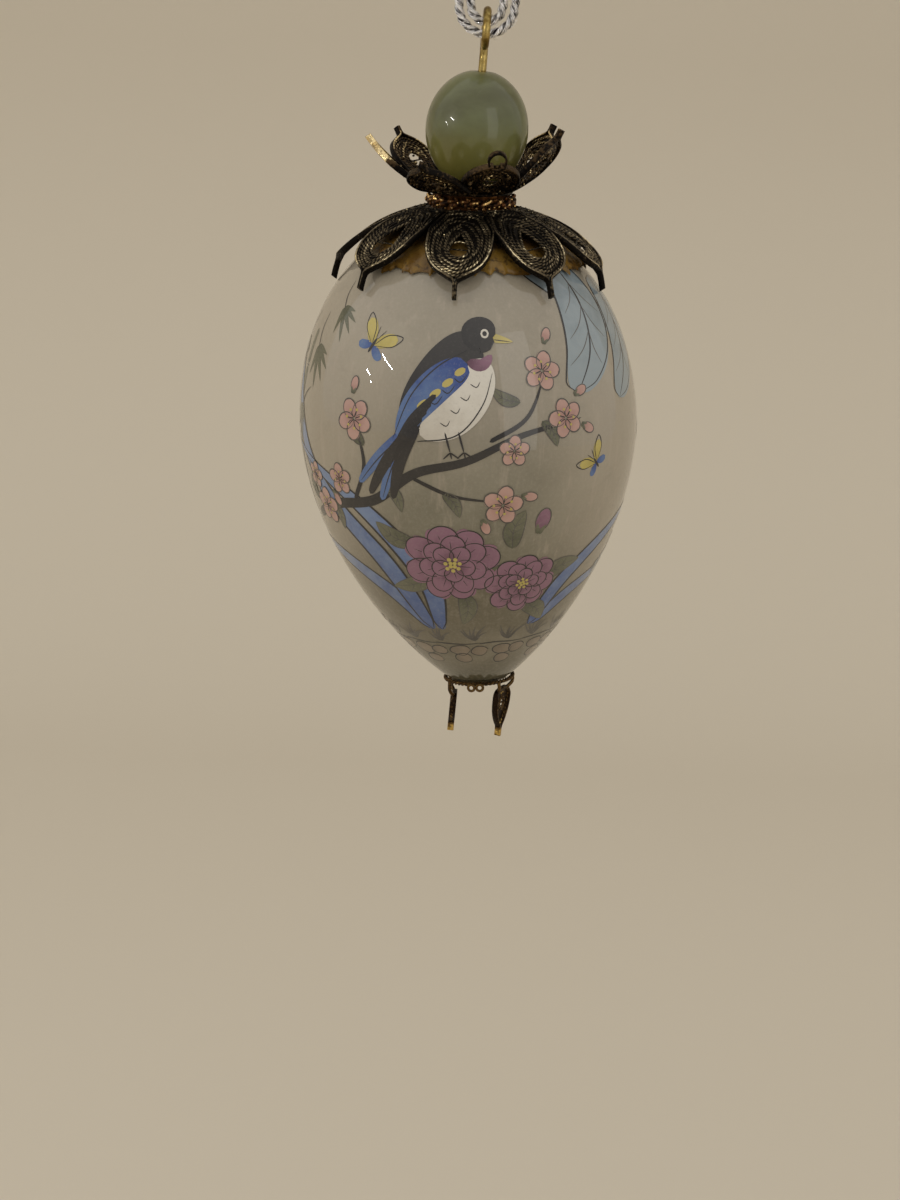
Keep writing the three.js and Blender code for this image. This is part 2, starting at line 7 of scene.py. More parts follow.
import bpy
import numpy as np
from mathutils import Matrix
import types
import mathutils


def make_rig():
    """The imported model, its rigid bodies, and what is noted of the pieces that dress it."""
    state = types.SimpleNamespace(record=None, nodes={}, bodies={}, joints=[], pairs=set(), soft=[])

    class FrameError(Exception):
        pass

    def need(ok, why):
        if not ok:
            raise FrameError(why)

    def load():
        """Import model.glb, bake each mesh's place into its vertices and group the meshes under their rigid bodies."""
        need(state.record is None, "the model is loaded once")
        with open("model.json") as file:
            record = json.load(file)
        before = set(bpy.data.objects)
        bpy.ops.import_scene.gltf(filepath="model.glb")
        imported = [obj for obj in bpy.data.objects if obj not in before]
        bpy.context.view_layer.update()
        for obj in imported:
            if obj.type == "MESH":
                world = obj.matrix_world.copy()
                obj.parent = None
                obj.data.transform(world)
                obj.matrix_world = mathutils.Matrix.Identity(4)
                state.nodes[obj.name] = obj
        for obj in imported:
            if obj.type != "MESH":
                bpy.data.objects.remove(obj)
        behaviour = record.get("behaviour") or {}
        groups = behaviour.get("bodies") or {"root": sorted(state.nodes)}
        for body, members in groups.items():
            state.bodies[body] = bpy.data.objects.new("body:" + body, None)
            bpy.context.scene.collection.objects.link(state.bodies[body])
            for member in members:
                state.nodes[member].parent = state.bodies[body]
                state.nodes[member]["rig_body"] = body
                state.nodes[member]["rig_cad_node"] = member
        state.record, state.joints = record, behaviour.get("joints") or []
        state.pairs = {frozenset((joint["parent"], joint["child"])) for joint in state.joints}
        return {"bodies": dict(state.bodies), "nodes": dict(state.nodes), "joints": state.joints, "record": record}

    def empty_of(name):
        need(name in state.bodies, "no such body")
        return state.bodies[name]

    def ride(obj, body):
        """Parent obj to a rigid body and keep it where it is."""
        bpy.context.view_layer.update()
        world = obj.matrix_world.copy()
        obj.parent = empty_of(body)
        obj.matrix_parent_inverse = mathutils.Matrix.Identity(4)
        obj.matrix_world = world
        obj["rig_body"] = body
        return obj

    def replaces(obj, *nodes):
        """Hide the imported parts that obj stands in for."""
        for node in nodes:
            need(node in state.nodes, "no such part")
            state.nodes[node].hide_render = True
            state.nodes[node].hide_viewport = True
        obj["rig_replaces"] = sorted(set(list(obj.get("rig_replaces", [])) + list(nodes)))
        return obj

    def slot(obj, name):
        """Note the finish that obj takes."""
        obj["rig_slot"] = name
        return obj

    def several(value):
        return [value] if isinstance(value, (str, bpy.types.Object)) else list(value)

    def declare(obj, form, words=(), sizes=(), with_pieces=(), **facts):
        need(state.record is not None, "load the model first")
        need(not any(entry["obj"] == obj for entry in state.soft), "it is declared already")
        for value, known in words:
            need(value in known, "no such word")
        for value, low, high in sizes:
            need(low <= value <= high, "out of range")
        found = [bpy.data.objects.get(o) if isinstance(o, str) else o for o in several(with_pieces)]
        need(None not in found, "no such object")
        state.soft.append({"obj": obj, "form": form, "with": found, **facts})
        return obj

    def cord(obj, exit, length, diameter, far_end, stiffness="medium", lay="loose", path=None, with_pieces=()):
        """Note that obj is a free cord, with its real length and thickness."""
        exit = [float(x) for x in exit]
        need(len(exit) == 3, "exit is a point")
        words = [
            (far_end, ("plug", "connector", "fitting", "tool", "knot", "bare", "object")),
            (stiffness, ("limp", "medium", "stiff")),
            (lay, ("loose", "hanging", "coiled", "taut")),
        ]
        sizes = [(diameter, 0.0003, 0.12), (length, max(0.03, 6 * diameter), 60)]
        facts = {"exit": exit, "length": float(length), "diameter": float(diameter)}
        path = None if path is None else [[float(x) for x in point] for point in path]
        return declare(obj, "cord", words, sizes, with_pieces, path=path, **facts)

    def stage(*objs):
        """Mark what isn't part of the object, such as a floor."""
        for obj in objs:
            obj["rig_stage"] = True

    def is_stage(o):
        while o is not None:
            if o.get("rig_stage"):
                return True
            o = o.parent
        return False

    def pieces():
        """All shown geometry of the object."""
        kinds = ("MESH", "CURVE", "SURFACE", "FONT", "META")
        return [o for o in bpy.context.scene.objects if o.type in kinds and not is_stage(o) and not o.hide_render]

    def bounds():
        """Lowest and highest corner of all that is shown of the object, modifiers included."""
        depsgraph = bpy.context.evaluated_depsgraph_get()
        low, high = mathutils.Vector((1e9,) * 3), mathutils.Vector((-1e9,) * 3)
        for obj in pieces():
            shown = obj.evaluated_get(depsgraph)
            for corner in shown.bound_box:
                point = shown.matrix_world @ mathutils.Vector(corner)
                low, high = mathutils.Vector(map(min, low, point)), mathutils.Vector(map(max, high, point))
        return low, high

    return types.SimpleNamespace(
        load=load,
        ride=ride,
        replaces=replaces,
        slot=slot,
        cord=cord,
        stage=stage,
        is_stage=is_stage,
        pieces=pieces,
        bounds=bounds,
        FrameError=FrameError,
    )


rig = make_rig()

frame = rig.load()
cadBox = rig.bounds()
print("loaded", len(frame["nodes"]), "nodes")

# Camera at the photograph's angle
camera = {
    "place": (-0.009045, -0.354, -0.006957),
    "right": (0.998992, -0.010974, 0.043537),
    "up": (-0.0396, 0.241673, 0.96955),
    "lens": 81,
    "sensorHeight": 36,
    "nearest": 0.01,
    "furthest": 20,
}


def placeObject(name, data, right, up, place):
    # a camera or a lamp looks along minus its third axis, which is right crossed with up
    turn = np.eye(4)
    turn[:3, 0], turn[:3, 1], turn[:3, 2], turn[:3, 3] = right, up, np.cross(right, up), place
    made = bpy.data.objects.new(name, data)
    bpy.context.scene.collection.objects.link(made)
    made.matrix_world = Matrix(turn.tolist())
    return made


def makeCamera(settings):
    data = bpy.data.cameras.new("camera")
    data.sensor_fit = "VERTICAL"
    data.sensor_height, data.lens = settings["sensorHeight"], settings["lens"]
    data.clip_start, data.clip_end = settings["nearest"], settings["furthest"]
    made = placeObject("camera", data, settings["right"], settings["up"], settings["place"])
    bpy.context.scene.camera = made


makeCamera(camera)
bpy.context.scene.view_settings.view_transform = "Standard"


# Mesh making. A sheet is a dictionary of points (n x 3, millimetres), quads, caps, the wear, shade and tone values,
# and lay.

def gridQuads(rows, columns, closeRows, closeColumns):
    # quad (i, j) joins grid points (i, j), (i+1, j), (i+1, j+1), (i, j+1), wrapping where closed
    i = np.arange(rows if closeRows else rows - 1)
    j = np.arange(columns if closeColumns else columns - 1)
    i, j = np.meshgrid(i, j, indexing="ij")
    below, beside = (i + 1) % rows, (j + 1) % columns
    corners = [i * columns + j, below * columns + j, below * columns + beside, i * columns + beside]
    return np.stack(corners, axis=-1).reshape(-1, 4)


def pointsOf(*axes):
    # points from their coordinates, which lie along a new last axis
    return np.stack(np.broadcast_arrays(*axes), axis=-1)


def sheetOf(points, closeRows=False, closeColumns=False, capEnds=False, wearShadeAndTone=None, lay=None, flip=False):
    # a grid of points (rows x columns x 3) as one sheet, its open ends closed by a polygon if asked
    rows, columns = points.shape[:2]
    quads = gridQuads(rows, columns, closeRows, closeColumns)
    caps = []
    if capEnds:
        caps = [np.arange(columns), (rows - 1) * columns + np.arange(columns)[::-1]]
    if flip:
        quads = quads[:, ::-1]
        caps = [cap[::-1] for cap in caps]
    count = rows * columns
    wearShadeAndTone = np.zeros(count) if wearShadeAndTone is None else np.broadcast_to(wearShadeAndTone, (rows, columns)).reshape(-1)
    lay = np.zeros((count, 3)) if lay is None else np.broadcast_to(lay, (rows, columns, 3)).reshape(-1, 3)
    return {"points": points.reshape(-1, 3), "quads": quads, "caps": caps, "wearShadeAndTone": wearShadeAndTone, "lay": lay}


def meshObject(name, sheets):
    # all sheets as one mesh at the origin, written with foreach_set, with a wear, shade and tone attribute and a lay
    # attribute
    points = np.concatenate([s["points"] for s in sheets]) / 1000
    starts = np.cumsum([0] + [len(s["points"]) for s in sheets])
    loops, totals = [], []
    for sheet, start in zip(sheets, starts):
        loops.append((sheet["quads"] + start).reshape(-1))
        totals.append(np.full(len(sheet["quads"]), sheet["quads"].shape[1]))
        for cap in sheet["caps"]:
            loops.append(cap + start)
            totals.append(np.array([len(cap)]))
    loops, totals = np.concatenate(loops), np.concatenate(totals)
    mesh = bpy.data.meshes.new(name)
    mesh.vertices.add(len(points))
    mesh.vertices.foreach_set("co", points.astype(np.float32).reshape(-1))
    mesh.loops.add(len(loops))
    mesh.loops.foreach_set("vertex_index", loops.astype(np.int32))
    mesh.polygons.add(len(totals))
    mesh.polygons.foreach_set("loop_start", np.concatenate([[0], np.cumsum(totals)[:-1]]).astype(np.int32))
    mesh.polygons.foreach_set("use_smooth", np.ones(len(totals), bool))
    # this value mixes colours in the materials: real wear on the metal, painted shade on the cord and the adhesive,
    # and tone along each painted stroke
    wearShadeAndTone = mesh.attributes.new("wearShadeAndTone", "FLOAT", "POINT")
    wearShadeAndTone.data.foreach_set("value", np.concatenate([s["wearShadeAndTone"] for s in sheets]).astype(np.float32))
    lay = mesh.attributes.new("lay", "FLOAT_VECTOR", "POINT")
    lay.data.foreach_set("vector", np.concatenate([s["lay"] for s in sheets]).astype(np.float32).reshape(-1))
    mesh.update(calc_edges=True)
    mesh.validate()
    made = bpy.data.objects.new(name, mesh)
    bpy.context.scene.collection.objects.link(made)
    return made


def putIn(sheets, place):
    # every sheet's points carried by a 4 x 4 place
    for sheet in sheets:
        sheet["points"] = sheet["points"] @ place[:3, :3].T + place[:3, 3]
    return sheets


def turnedY(degrees, centre=(0, 0, 0)):
    # a turn about Y through a centre: x' = x cos + z sin, z' = z cos - x sin
    angle = math.radians(degrees)
    place = np.eye(4)
    place[0, 0] = place[2, 2] = math.cos(angle)
    place[0, 2], place[2, 0] = math.sin(angle), -math.sin(angle)
    place[:3, 3] = np.array(centre) - place[:3, :3] @ np.array(centre)
    return place


def moved(x, y, z):
    place = np.eye(4)
    place[:3, 3] = (x, y, z)
    return place


def makePiece(name, sheets, place, material, body, slot, *nodes):
    # a piece from sheets in their own frame: its body's name, its slot and the nodes that it replaces
    piece = meshObject(name, putIn(sheets, place))
    piece.data.materials.append(material)
    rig.ride(piece, body)
    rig.slot(piece, slot)
    if nodes:
        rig.replaces(piece, *nodes)
    print("made", name, len(piece.data.polygons), "faces")
    return piece


def evened(path, count, closed=False):
    # the path again with evenly spaced points, by its length so far
    line = np.concatenate([path, path[:1]]) if closed else path
    length = np.concatenate([[0], np.cumsum(np.linalg.norm(np.diff(line, axis=0), axis=1))])
    at = np.linspace(0, length[-1], count + 1)[:-1] if closed else np.linspace(0, length[-1], count)
    return pointsOf(*(np.interp(at, length, line[:, k]) for k in range(line.shape[1])))


def throughPoints(points, count):
    # a smooth curve through points: centripetal Catmull-Rom spans, each a cubic of its four knots
    points = np.array(points, float)
    before, after = 2 * points[0] - points[1], 2 * points[-1] - points[-2]
    p = np.concatenate([[before], points, [after]])
    knots = np.concatenate([[0], np.cumsum(np.linalg.norm(np.diff(p, axis=0), axis=1) ** 0.5)])
    at = np.linspace(knots[1], knots[-2], count * 8)
    i = np.clip(np.searchsorted(knots, at, side="right") - 1, 1, len(p) - 3)
    t = at[:, None]
    k = [knots[i + n][:, None] for n in (-1, 0, 1, 2)]
    q = [p[i + n] for n in (-1, 0, 1, 2)]
    a = [((k[n + 1] - t) * q[n] + (t - k[n]) * q[n + 1]) / (k[n + 1] - k[n]) for n in range(3)]
    b = [((k[n + 2] - t) * a[n] + (t - k[n]) * a[n + 1]) / (k[n + 2] - k[n]) for n in range(2)]
    line = ((k[2] - t) * b[0] + (t - k[1]) * b[1]) / (k[2] - k[1])
    return evened(line, count)


def unit(vectors):
    return vectors / np.maximum(np.linalg.norm(vectors, axis=-1, keepdims=True), 1e-9)


def framed(path, upward, closed=False):
    # tangent from neighbours, side across the upward direction, and the normal square to both
    if closed:
        tangent = unit(np.roll(path, -1, axis=0) - np.roll(path, 1, axis=0))
    else:
        tangent = unit(np.gradient(path, axis=0))
    side = unit(np.cross(tangent, np.broadcast_to(upward, path.shape)))
    return tangent, side, np.cross(side, tangent)


def fullTurn(count):
    # evenly spaced angles once round, the last one a step short of the first
    return np.linspace(0, 2 * np.pi, count, endpoint=False)


def aboutZ(radius, azimuth, height):
    # points round Z, with azimuth 0 at the front: x = r sin a, y = -r cos a
    return pointsOf(radius * np.sin(azimuth), -radius * np.cos(azimuth), height)


def tube(path, radius, around, side, normal):
    # a ring about each point of a path: p + r (side cos a + normal sin a)
    ring = np.cos(around)[..., None] * side[:, None] + np.sin(around)[..., None] * normal[:, None]
    return path[:, None] + np.asarray(radius)[..., None] * ring


def revolvedSheet(radius, height, steps, wearShadeAndTone=0.3, flip=False):
    # a closed outline of radius and height turned once round Z
    points = aboutZ(np.array(radius)[:, None], fullTurn(steps), np.array(height)[:, None])
    return sheetOf(points, closeRows=True, closeColumns=True, wearShadeAndTone=wearShadeAndTone, flip=flip)


def wireSheet(path, radius, sides, upward, wearShadeAndTone, closed=False):
    # a round wire: a circle square to the path, its ends closed
    _, side, normal = framed(path, upward, closed)
    points = tube(path, radius, fullTurn(sides)[None, :], side, normal)
    return sheetOf(points, closeRows=closed, closeColumns=True, capEnds=not closed, wearShadeAndTone=wearShadeAndTone)


# Places of the egg, its crown and its bead
eggShape = {
    "radius": 22.5,
    "upperHeight": 27,
    "upperPower": 2,
    "upperRoot": 0.435,
    "lowerHeight": 37.9,
    "lowerPower": 1.81,
    "lowerRoot": 0.8,
    "wall": 1.5,
    "mouth": 4.2,
    "top": 26.51,
    "foot": -34.72,
    "shoulderCentre": 5.5,
}
crownShape = {
    "lean": 4,
    "pinLean": 3.6,
    "capInside": 22.8,
    "hubTop": 23.25,
    "collarHeight": 29.01,
    "cupBase": 29.91,
    "cupTop": 30.36,
    "eyeHeight": 20.49,
    "beadBase": 0.39,
}
eyeDepth, eggDepth, eggTilt = -19.25, -70.0677, -5.01837
fromEgg = moved(0, 0, eggDepth) @ turnedY(eggTilt)
fromCrown = fromEgg @ turnedY(crownShape["lean"], (0, 0, eggShape["shoulderCentre"]))
fromPin = fromCrown @ moved(0, 0, crownShape["cupTop"]) @ turnedY(crownShape["pinLean"])


def eggRadius(height, inset=0.0):
    # R (1 - (|z| / h)^power)^root, with its own h, power and root in each half
    s = eggShape
    upper = height > 0
    reach = np.where(upper, s["upperHeight"], s["lowerHeight"]) - inset
    power = np.where(upper, s["upperPower"], s["lowerPower"])
    root = np.where(upper, s["upperRoot"], s["lowerRoot"])
    share = np.minimum(np.abs(height) / reach, 1)
    return (s["radius"] - inset) * (1 - share ** power) ** root


# Materials. Colours are linear.

def linear(red, green, blue):
    # screen values from 0 to 255 as a linear colour
    value = np.array([red, green, blue]) / 255
    value = np.where(value <= 0.04045, value / 12.92, ((value + 0.055) / 1.055) ** 2.4)
    return (*value.tolist(), 1.0)


class Nodes:
    # short hand for adding nodes to a tree and joining their sockets

    def __init__(self, tree):
        self.tree = tree

    def add(self, kind, **values):
        node = self.tree.nodes.new(kind)
        for name, value in values.items():
            setattr(node, name, value)
        return node

    def join(self, source, target):
        self.tree.links.new(source, target)

    def feed(self, socket, value):
        if isinstance(value, bpy.types.NodeSocket):
            self.join(value, socket)
        else:
            socket.default_value = value

    def dress(self, node, values):
        # inputs by name: sockets are joined and plain values are set
        for label, value in values.items():
            self.feed(node.inputs[label], value)

    def maths(self, operation, first, second=0.0, third=0.0):
        node = self.add("ShaderNodeMath", operation=operation)
        for socket, value in zip(node.inputs, (first, second, third)):
            self.feed(socket, value)
        return node.outputs[0]

    def ramp(self, factor, low, high, toLow=0.0, toHigh=1.0):
        node = self.add("ShaderNodeMapRange", interpolation_type="SMOOTHSTEP")
        for socket, value in zip(node.inputs, (factor, low, high, toLow, toHigh)):
            self.feed(socket, value)
        return node.outputs[0]

    def mixed(self, factor, first, second):
        # the colour sockets of a mix node are its seventh and eighth inputs and its third output
        node = self.add("ShaderNodeMix", data_type="RGBA")
        for place, value in ((0, factor), (6, first), (7, second)):
            self.feed(node.inputs[place], value)
        return node.outputs[2]

    def noise(self, vector, scale, detail=3.0, rough=0.5, distortion=0.0):
        node = self.add("ShaderNodeTexNoise")
        self.dress(node, {"Vector": vector, "Scale": scale, "Detail": detail, "Roughness": rough,
                          "Distortion": distortion})
        return node.outputs["Fac"]

    def objectPlace(self):
        return self.add("ShaderNodeTexCoord").outputs["Object"]

    def axes(self, vector):
        node = self.add("ShaderNodeSeparateXYZ")
        self.join(vector, node.inputs[0])
        return node.outputs

    def attribute(self, name, output="Fac"):
        return self.add("ShaderNodeAttribute", attribute_name=name).outputs[output]

    def bump(self, height, distance, strength=1.0):
        node = self.add("ShaderNodeBump")
        self.dress(node, {"Strength": strength, "Distance": distance, "Height": height})
        return node.outputs["Normal"]


def newMaterial(name):
    material = bpy.data.materials.new(name)
    material.use_nodes = True
    tree = material.node_tree
    shader = next(n for n in tree.nodes if n.type == "BSDF_PRINCIPLED")
    return material, Nodes(tree), shader


def newGroup(name, inputs, outputs):
    # a shader node group with named inputs (kind, default) and outputs
    tree = bpy.data.node_groups.new(name, "ShaderNodeTree")
    for label, (kind, value) in inputs.items():
        socket = tree.interface.new_socket(name=label, in_out="INPUT", socket_type=kind)
        if value is not None:
            socket.default_value = value
    for label, kind in outputs.items():
        tree.interface.new_socket(name=label, in_out="OUTPUT", socket_type=kind)
    nodes = Nodes(tree)
    return tree, nodes, nodes.add("NodeGroupInput").outputs, nodes.add("NodeGroupOutput").inputs


def patinaGroup():
    # raised places show worn metal and hollows keep dark patina: a mask from wear and two noises
    inputs = {
        "Wear": ("NodeSocketFloat", 0.5),
        "Amount": ("NodeSocketFloat", 0.5),
        "Grain": ("NodeSocketFloat", 3000.0),
        "Dark": ("NodeSocketColor", (0.01, 0.008, 0.006, 1)),
        "Middle": ("NodeSocketColor", (0.1, 0.08, 0.05, 1)),
        "Bright": ("NodeSocketColor", (0.5, 0.35, 0.12, 1)),
    }
    outputs = {"Color": "NodeSocketColor", "Mask": "NodeSocketFloat", "Roughness": "NodeSocketFloat",
               "Height": "NodeSocketFloat"}
    tree, nodes, given, out = newGroup("patina", inputs, outputs)
    place = nodes.objectPlace()
    cloud = nodes.noise(place, 420, 3, 0.6)
    fine = nodes.noise(place, given["Grain"], 2.5)
    level = nodes.maths("MULTIPLY_ADD", given["Wear"], 0.8, nodes.maths("MULTIPLY", fine, 0.75))
    level = nodes.maths("MULTIPLY_ADD", cloud, 0.6, level)
    level = nodes.maths("ADD", level, nodes.maths("SUBTRACT", given["Amount"], 1.2))
    high = nodes.ramp(level, 0.46, 0.7)
    low = nodes.mixed(nodes.ramp(level, 0.08, 0.36), given["Dark"], given["Middle"])
    results = {
        "Color": nodes.mixed(high, low, given["Bright"]),
        "Mask": high,
        "Roughness": nodes.ramp(level, 0.1, 0.7, 0.5, 0.22),
        "Height": nodes.maths("MULTIPLY_ADD", fine, 0.7, nodes.maths("MULTIPLY", cloud, 0.3)),
    }
    for label, result in results.items():
        nodes.join(result, out[label])
    return tree


patina = patinaGroup()


def patinaMetal(name, look):
    # the group's own inputs carry the same names as a look's entries
    material, nodes, shader = newMaterial(name)
    group = nodes.add("ShaderNodeGroup", node_tree=patina)
    given = {label: look[label.lower()] for label in ("Amount", "Grain", "Dark", "Middle", "Bright")}
    nodes.dress(group, {"Wear": nodes.attribute("wearShadeAndTone"), **given})
    nodes.dress(shader, {
        "Base Color": group.outputs["Color"],
        "Roughness": group.outputs["Roughness"],
        "Metallic": nodes.ramp(group.outputs["Mask"], 0, 1, look["patinaMetallic"], 1),
        "Normal": nodes.bump(group.outputs["Height"], look["bump"]),
        "Specular IOR Level": look["specular"],
    })
    return material


filigreeLook = {
    "amount": 0.455, "grain": 2600.0, "patinaMetallic": 0.7, "bump": 0.0002, "specular": 0.15,
    "dark": linear(17, 13, 9), "middle": linear(96, 84, 64), "bright": linear(236, 218, 176),
}
# the cup's copy of the patina, darker in its dark and middle tones than the cap's: painted shade on its petals' outer
# faces, which face downward
cupShadedLook = {
    **filigreeLook, "amount": 0.5,
    "dark": linear(14, 10, 7), "middle": linear(72, 56, 36), "bright": linear(232, 208, 156),
}
footLook = {
    **filigreeLook, "amount": 0.54,
    "dark": linear(34, 22, 12), "middle": linear(92, 70, 40), "bright": linear(196, 164, 92),
}
collarLook = {
    "amount": 0.6, "grain": 1900.0, "patinaMetallic": 0.6, "bump": 0.00012, "specular": 0.15,
    "dark": linear(30, 17, 9), "middle": linear(92, 58, 30), "bright": linear(224, 184, 120),
}
filigreeMetal = patinaMetal("filigreeMetal", filigreeLook)
cupShadedMetal = patinaMetal("cupShadedMetal", cupShadedLook)
footMetal = patinaMetal("footMetal", footLook)
collarMetal = patinaMetal("collarMetal", collarLook)


def brassWireMaterial():
    # drawn brass: a warm yellow with tarnish clouds and fine lengthwise drawing marks
    material, nodes, shader = newMaterial("brassWire")
    cloud = nodes.noise(nodes.objectPlace(), 500, 3, 0.6)
    marks = nodes.noise(nodes.attribute("lay", "Vector"), 1.0, 3, 0.6)
    tarnish = nodes.ramp(cloud, 0.4, 0.68)
    nodes.dress(shader, {
        "Base Color": nodes.mixed(tarnish, linear(188, 164, 100), linear(112, 90, 44)),
        "Roughness": nodes.ramp(cloud, 0.3, 0.7, 0.2, 0.38),
        "Metallic": 1.0,
        "Normal": nodes.bump(marks, 0.00003, 0.5),
    })
    return material


def silverCordMaterial():
    # metallised foil thread: bright streaks that wind with the ply, dark between them; bright flecks from a fine noise
    # are painted glints, and the attribute paints shade where plies and threads meet
    material, nodes, shader = newMaterial("silverThread")
    threads = nodes.noise(nodes.attribute("lay", "Vector"), 1.4, 3, 0.55)
    paintedGlints = nodes.noise(nodes.objectPlace(), 1500, 1, 0.5)
    # read from the mesh: lighter on each ply's crown, darker where plies and threads meet, a painted shade
    worn = nodes.attribute("wearShadeAndTone")
    level = nodes.maths("MULTIPLY_ADD", threads, 0.9, nodes.maths("MULTIPLY", worn, 0.45))
    level = nodes.maths("MULTIPLY_ADD", paintedGlints, 0.5, nodes.maths("SUBTRACT", level, 0.25))
    share = nodes.ramp(level, 0.6, 0.8)
    nodes.dress(shader, {
        "Base Color": nodes.mixed(share, linear(34, 27, 30), linear(255, 252, 250)),
        "Roughness": nodes.ramp(threads, 0.3, 0.7, 0.35, 0.1),
        "Metallic": 0.9,
        "Normal": nodes.bump(threads, 0.0002),
    })
    return material


def jadeMaterial():
    # cloudy grey-green stone, lighter and yellower low down, partly the stone and partly painted light on its shaded
    # underside, with pale wisps
    material, nodes, shader = newMaterial("greenStone")
    place = nodes.objectPlace()
    cloud = nodes.noise(place, 130, 4, 0.55, 0.6)
    wisps = nodes.noise(place, 330, 4, 0.6, 1.2)
    # lighter and yellower low down: partly the stone, partly painted light where little light reaches
    low = nodes.ramp(nodes.axes(place)[2], -0.0395, -0.0295, 1.0, 0.0)
    colour = nodes.mixed(nodes.ramp(cloud, 0.3, 0.7), linear(78, 78, 44), linear(100, 104, 68))
    colour = nodes.mixed(nodes.maths("MULTIPLY", low, 0.85), colour, linear(144, 136, 66))
    colour = nodes.mixed(nodes.ramp(wisps, 0.58, 0.82, 0.0, 0.25), colour, linear(112, 114, 84))
    nodes.dress(shader, {
        "Base Color": colour,
        "Roughness": 0.35,
        "Specular IOR Level": 0.25,
        "Coat Weight": 0.6,
        "Coat Roughness": 0.05,
        "Subsurface Weight": 0.25,
        "Subsurface Radius": (0.002, 0.002, 0.001),
        "Subsurface Scale": 1.0,
        "Normal": nodes.bump(wisps, 0.00004, 0.3),
    })
    return material


def adhesiveMaterial(name, *colours):
    # aged resin: amber to ochre in clouds, with small lumps and a soft shine, browner where the attribute is low,
    # which paints shade under the parts that cover it
    thin, thick, brown = (linear(*colour) for colour in colours)
    material, nodes, shader = newMaterial(name)
    place = nodes.objectPlace()
    cloud = nodes.noise(place, 260, 4, 0.6, 0.4)
    lumps = nodes.noise(place, 900, 3, 0.6)
    colour = nodes.mixed(nodes.ramp(cloud, 0.34, 0.66), thin, thick)
    colour = nodes.mixed(nodes.ramp(lumps, 0.52, 0.72), colour, brown)
    # painted shade: browner where the attribute is low, up under the petals and in the collar's hollows
    colour = nodes.mixed(nodes.ramp(nodes.attribute("wearShadeAndTone"), 0.3, 0.9, 0.75, 0.0), colour, brown)
    nodes.dress(shader, {
        "Base Color": colour,
        "Roughness": nodes.ramp(lumps, 0.3, 0.7, 0.25, 0.5),
        "Specular IOR Level": 0.25,
        "Coat Weight": 0.12,
        "Coat Roughness": 0.15,
        "Normal": nodes.bump(lumps, 0.0002, 0.6),
    })
    return material


brassWire = brassWireMaterial()
silverThread = silverCordMaterial()
greenStone = jadeMaterial()
ochreAdhesive = adhesiveMaterial("ochreAdhesive", (88, 62, 24), (132, 102, 42), (44, 30, 14))
umberAdhesive = adhesiveMaterial("umberAdhesive", (52, 44, 22), (84, 70, 36), (34, 26, 12))
amberAdhesive = adhesiveMaterial("amberAdhesive", (66, 36, 14), (112, 70, 28), (36, 18, 8))

# Silver cord: two turns through the eye and the barrel knot that binds them
cordSettings = {
    "diameter": 1.25, "plies": 3, "plyRadius": 0.325, "plyOffset": 0.305, "pitch": 4.2,
    "threads": 6, "threadDepth": 0.12, "threadPitch": 2.0, "stepsPerMillimetre": 9, "sides": 20,
    "routeSteps": 160, "strandAt": 0.8, "strayReach": 0.8, "strayWidth": 0.045, "cordRadius": 0.45,
    "knotAboveEye": 15.5, "knotTurns": 3, "knotDiameter": 6, "knotSteps": 400, "strandSpan": (-0.32, 3.35),
    "strandSteps": 12,
}
outerRoute = [
    (-0.8, -0.8, 15.2), (-0.8, -0.8, 13.9), (-1.35, -0.72, 11.6), (-2.55, -0.48, 8.6), (-3.4, -0.2, 5.6),
    (-3.6, 0, 3), (-3.12, 0, 1.2), (-1.8, 0, -0.12), (0, 0, -0.6), (1.8, 0, -0.12), (3.12, 0, 1.2),
    (3.6, 0, 3), (3.5, -0.2, 5.6), (2.65, -0.48, 8.6), (1.4, -0.72, 11.6), (0.8, -0.8, 13.9),
    (0.8, -0.8, 15.2),
]
innerRoute = [
    (-0.8, 0.8, 15.2), (-0.8, 0.8, 13.9), (-0.95, 0.8, 11.6), (-1.35, 0.58, 8.6), (-1.9, 0.25, 5.6),
    (-2.05, 0, 3), (-1.78, 0, 1.98), (-1.03, 0, 1.22), (0, 0, 0.95), (1.03, 0, 1.22), (1.78, 0, 1.98),
    (2.05, 0, 3), (1.95, 0.25, 5.6), (1.4, 0.58, 8.6), (0.95, 0.8, 11.6), (0.8, 0.8, 13.9), (0.8, 0.8, 15.2),
]


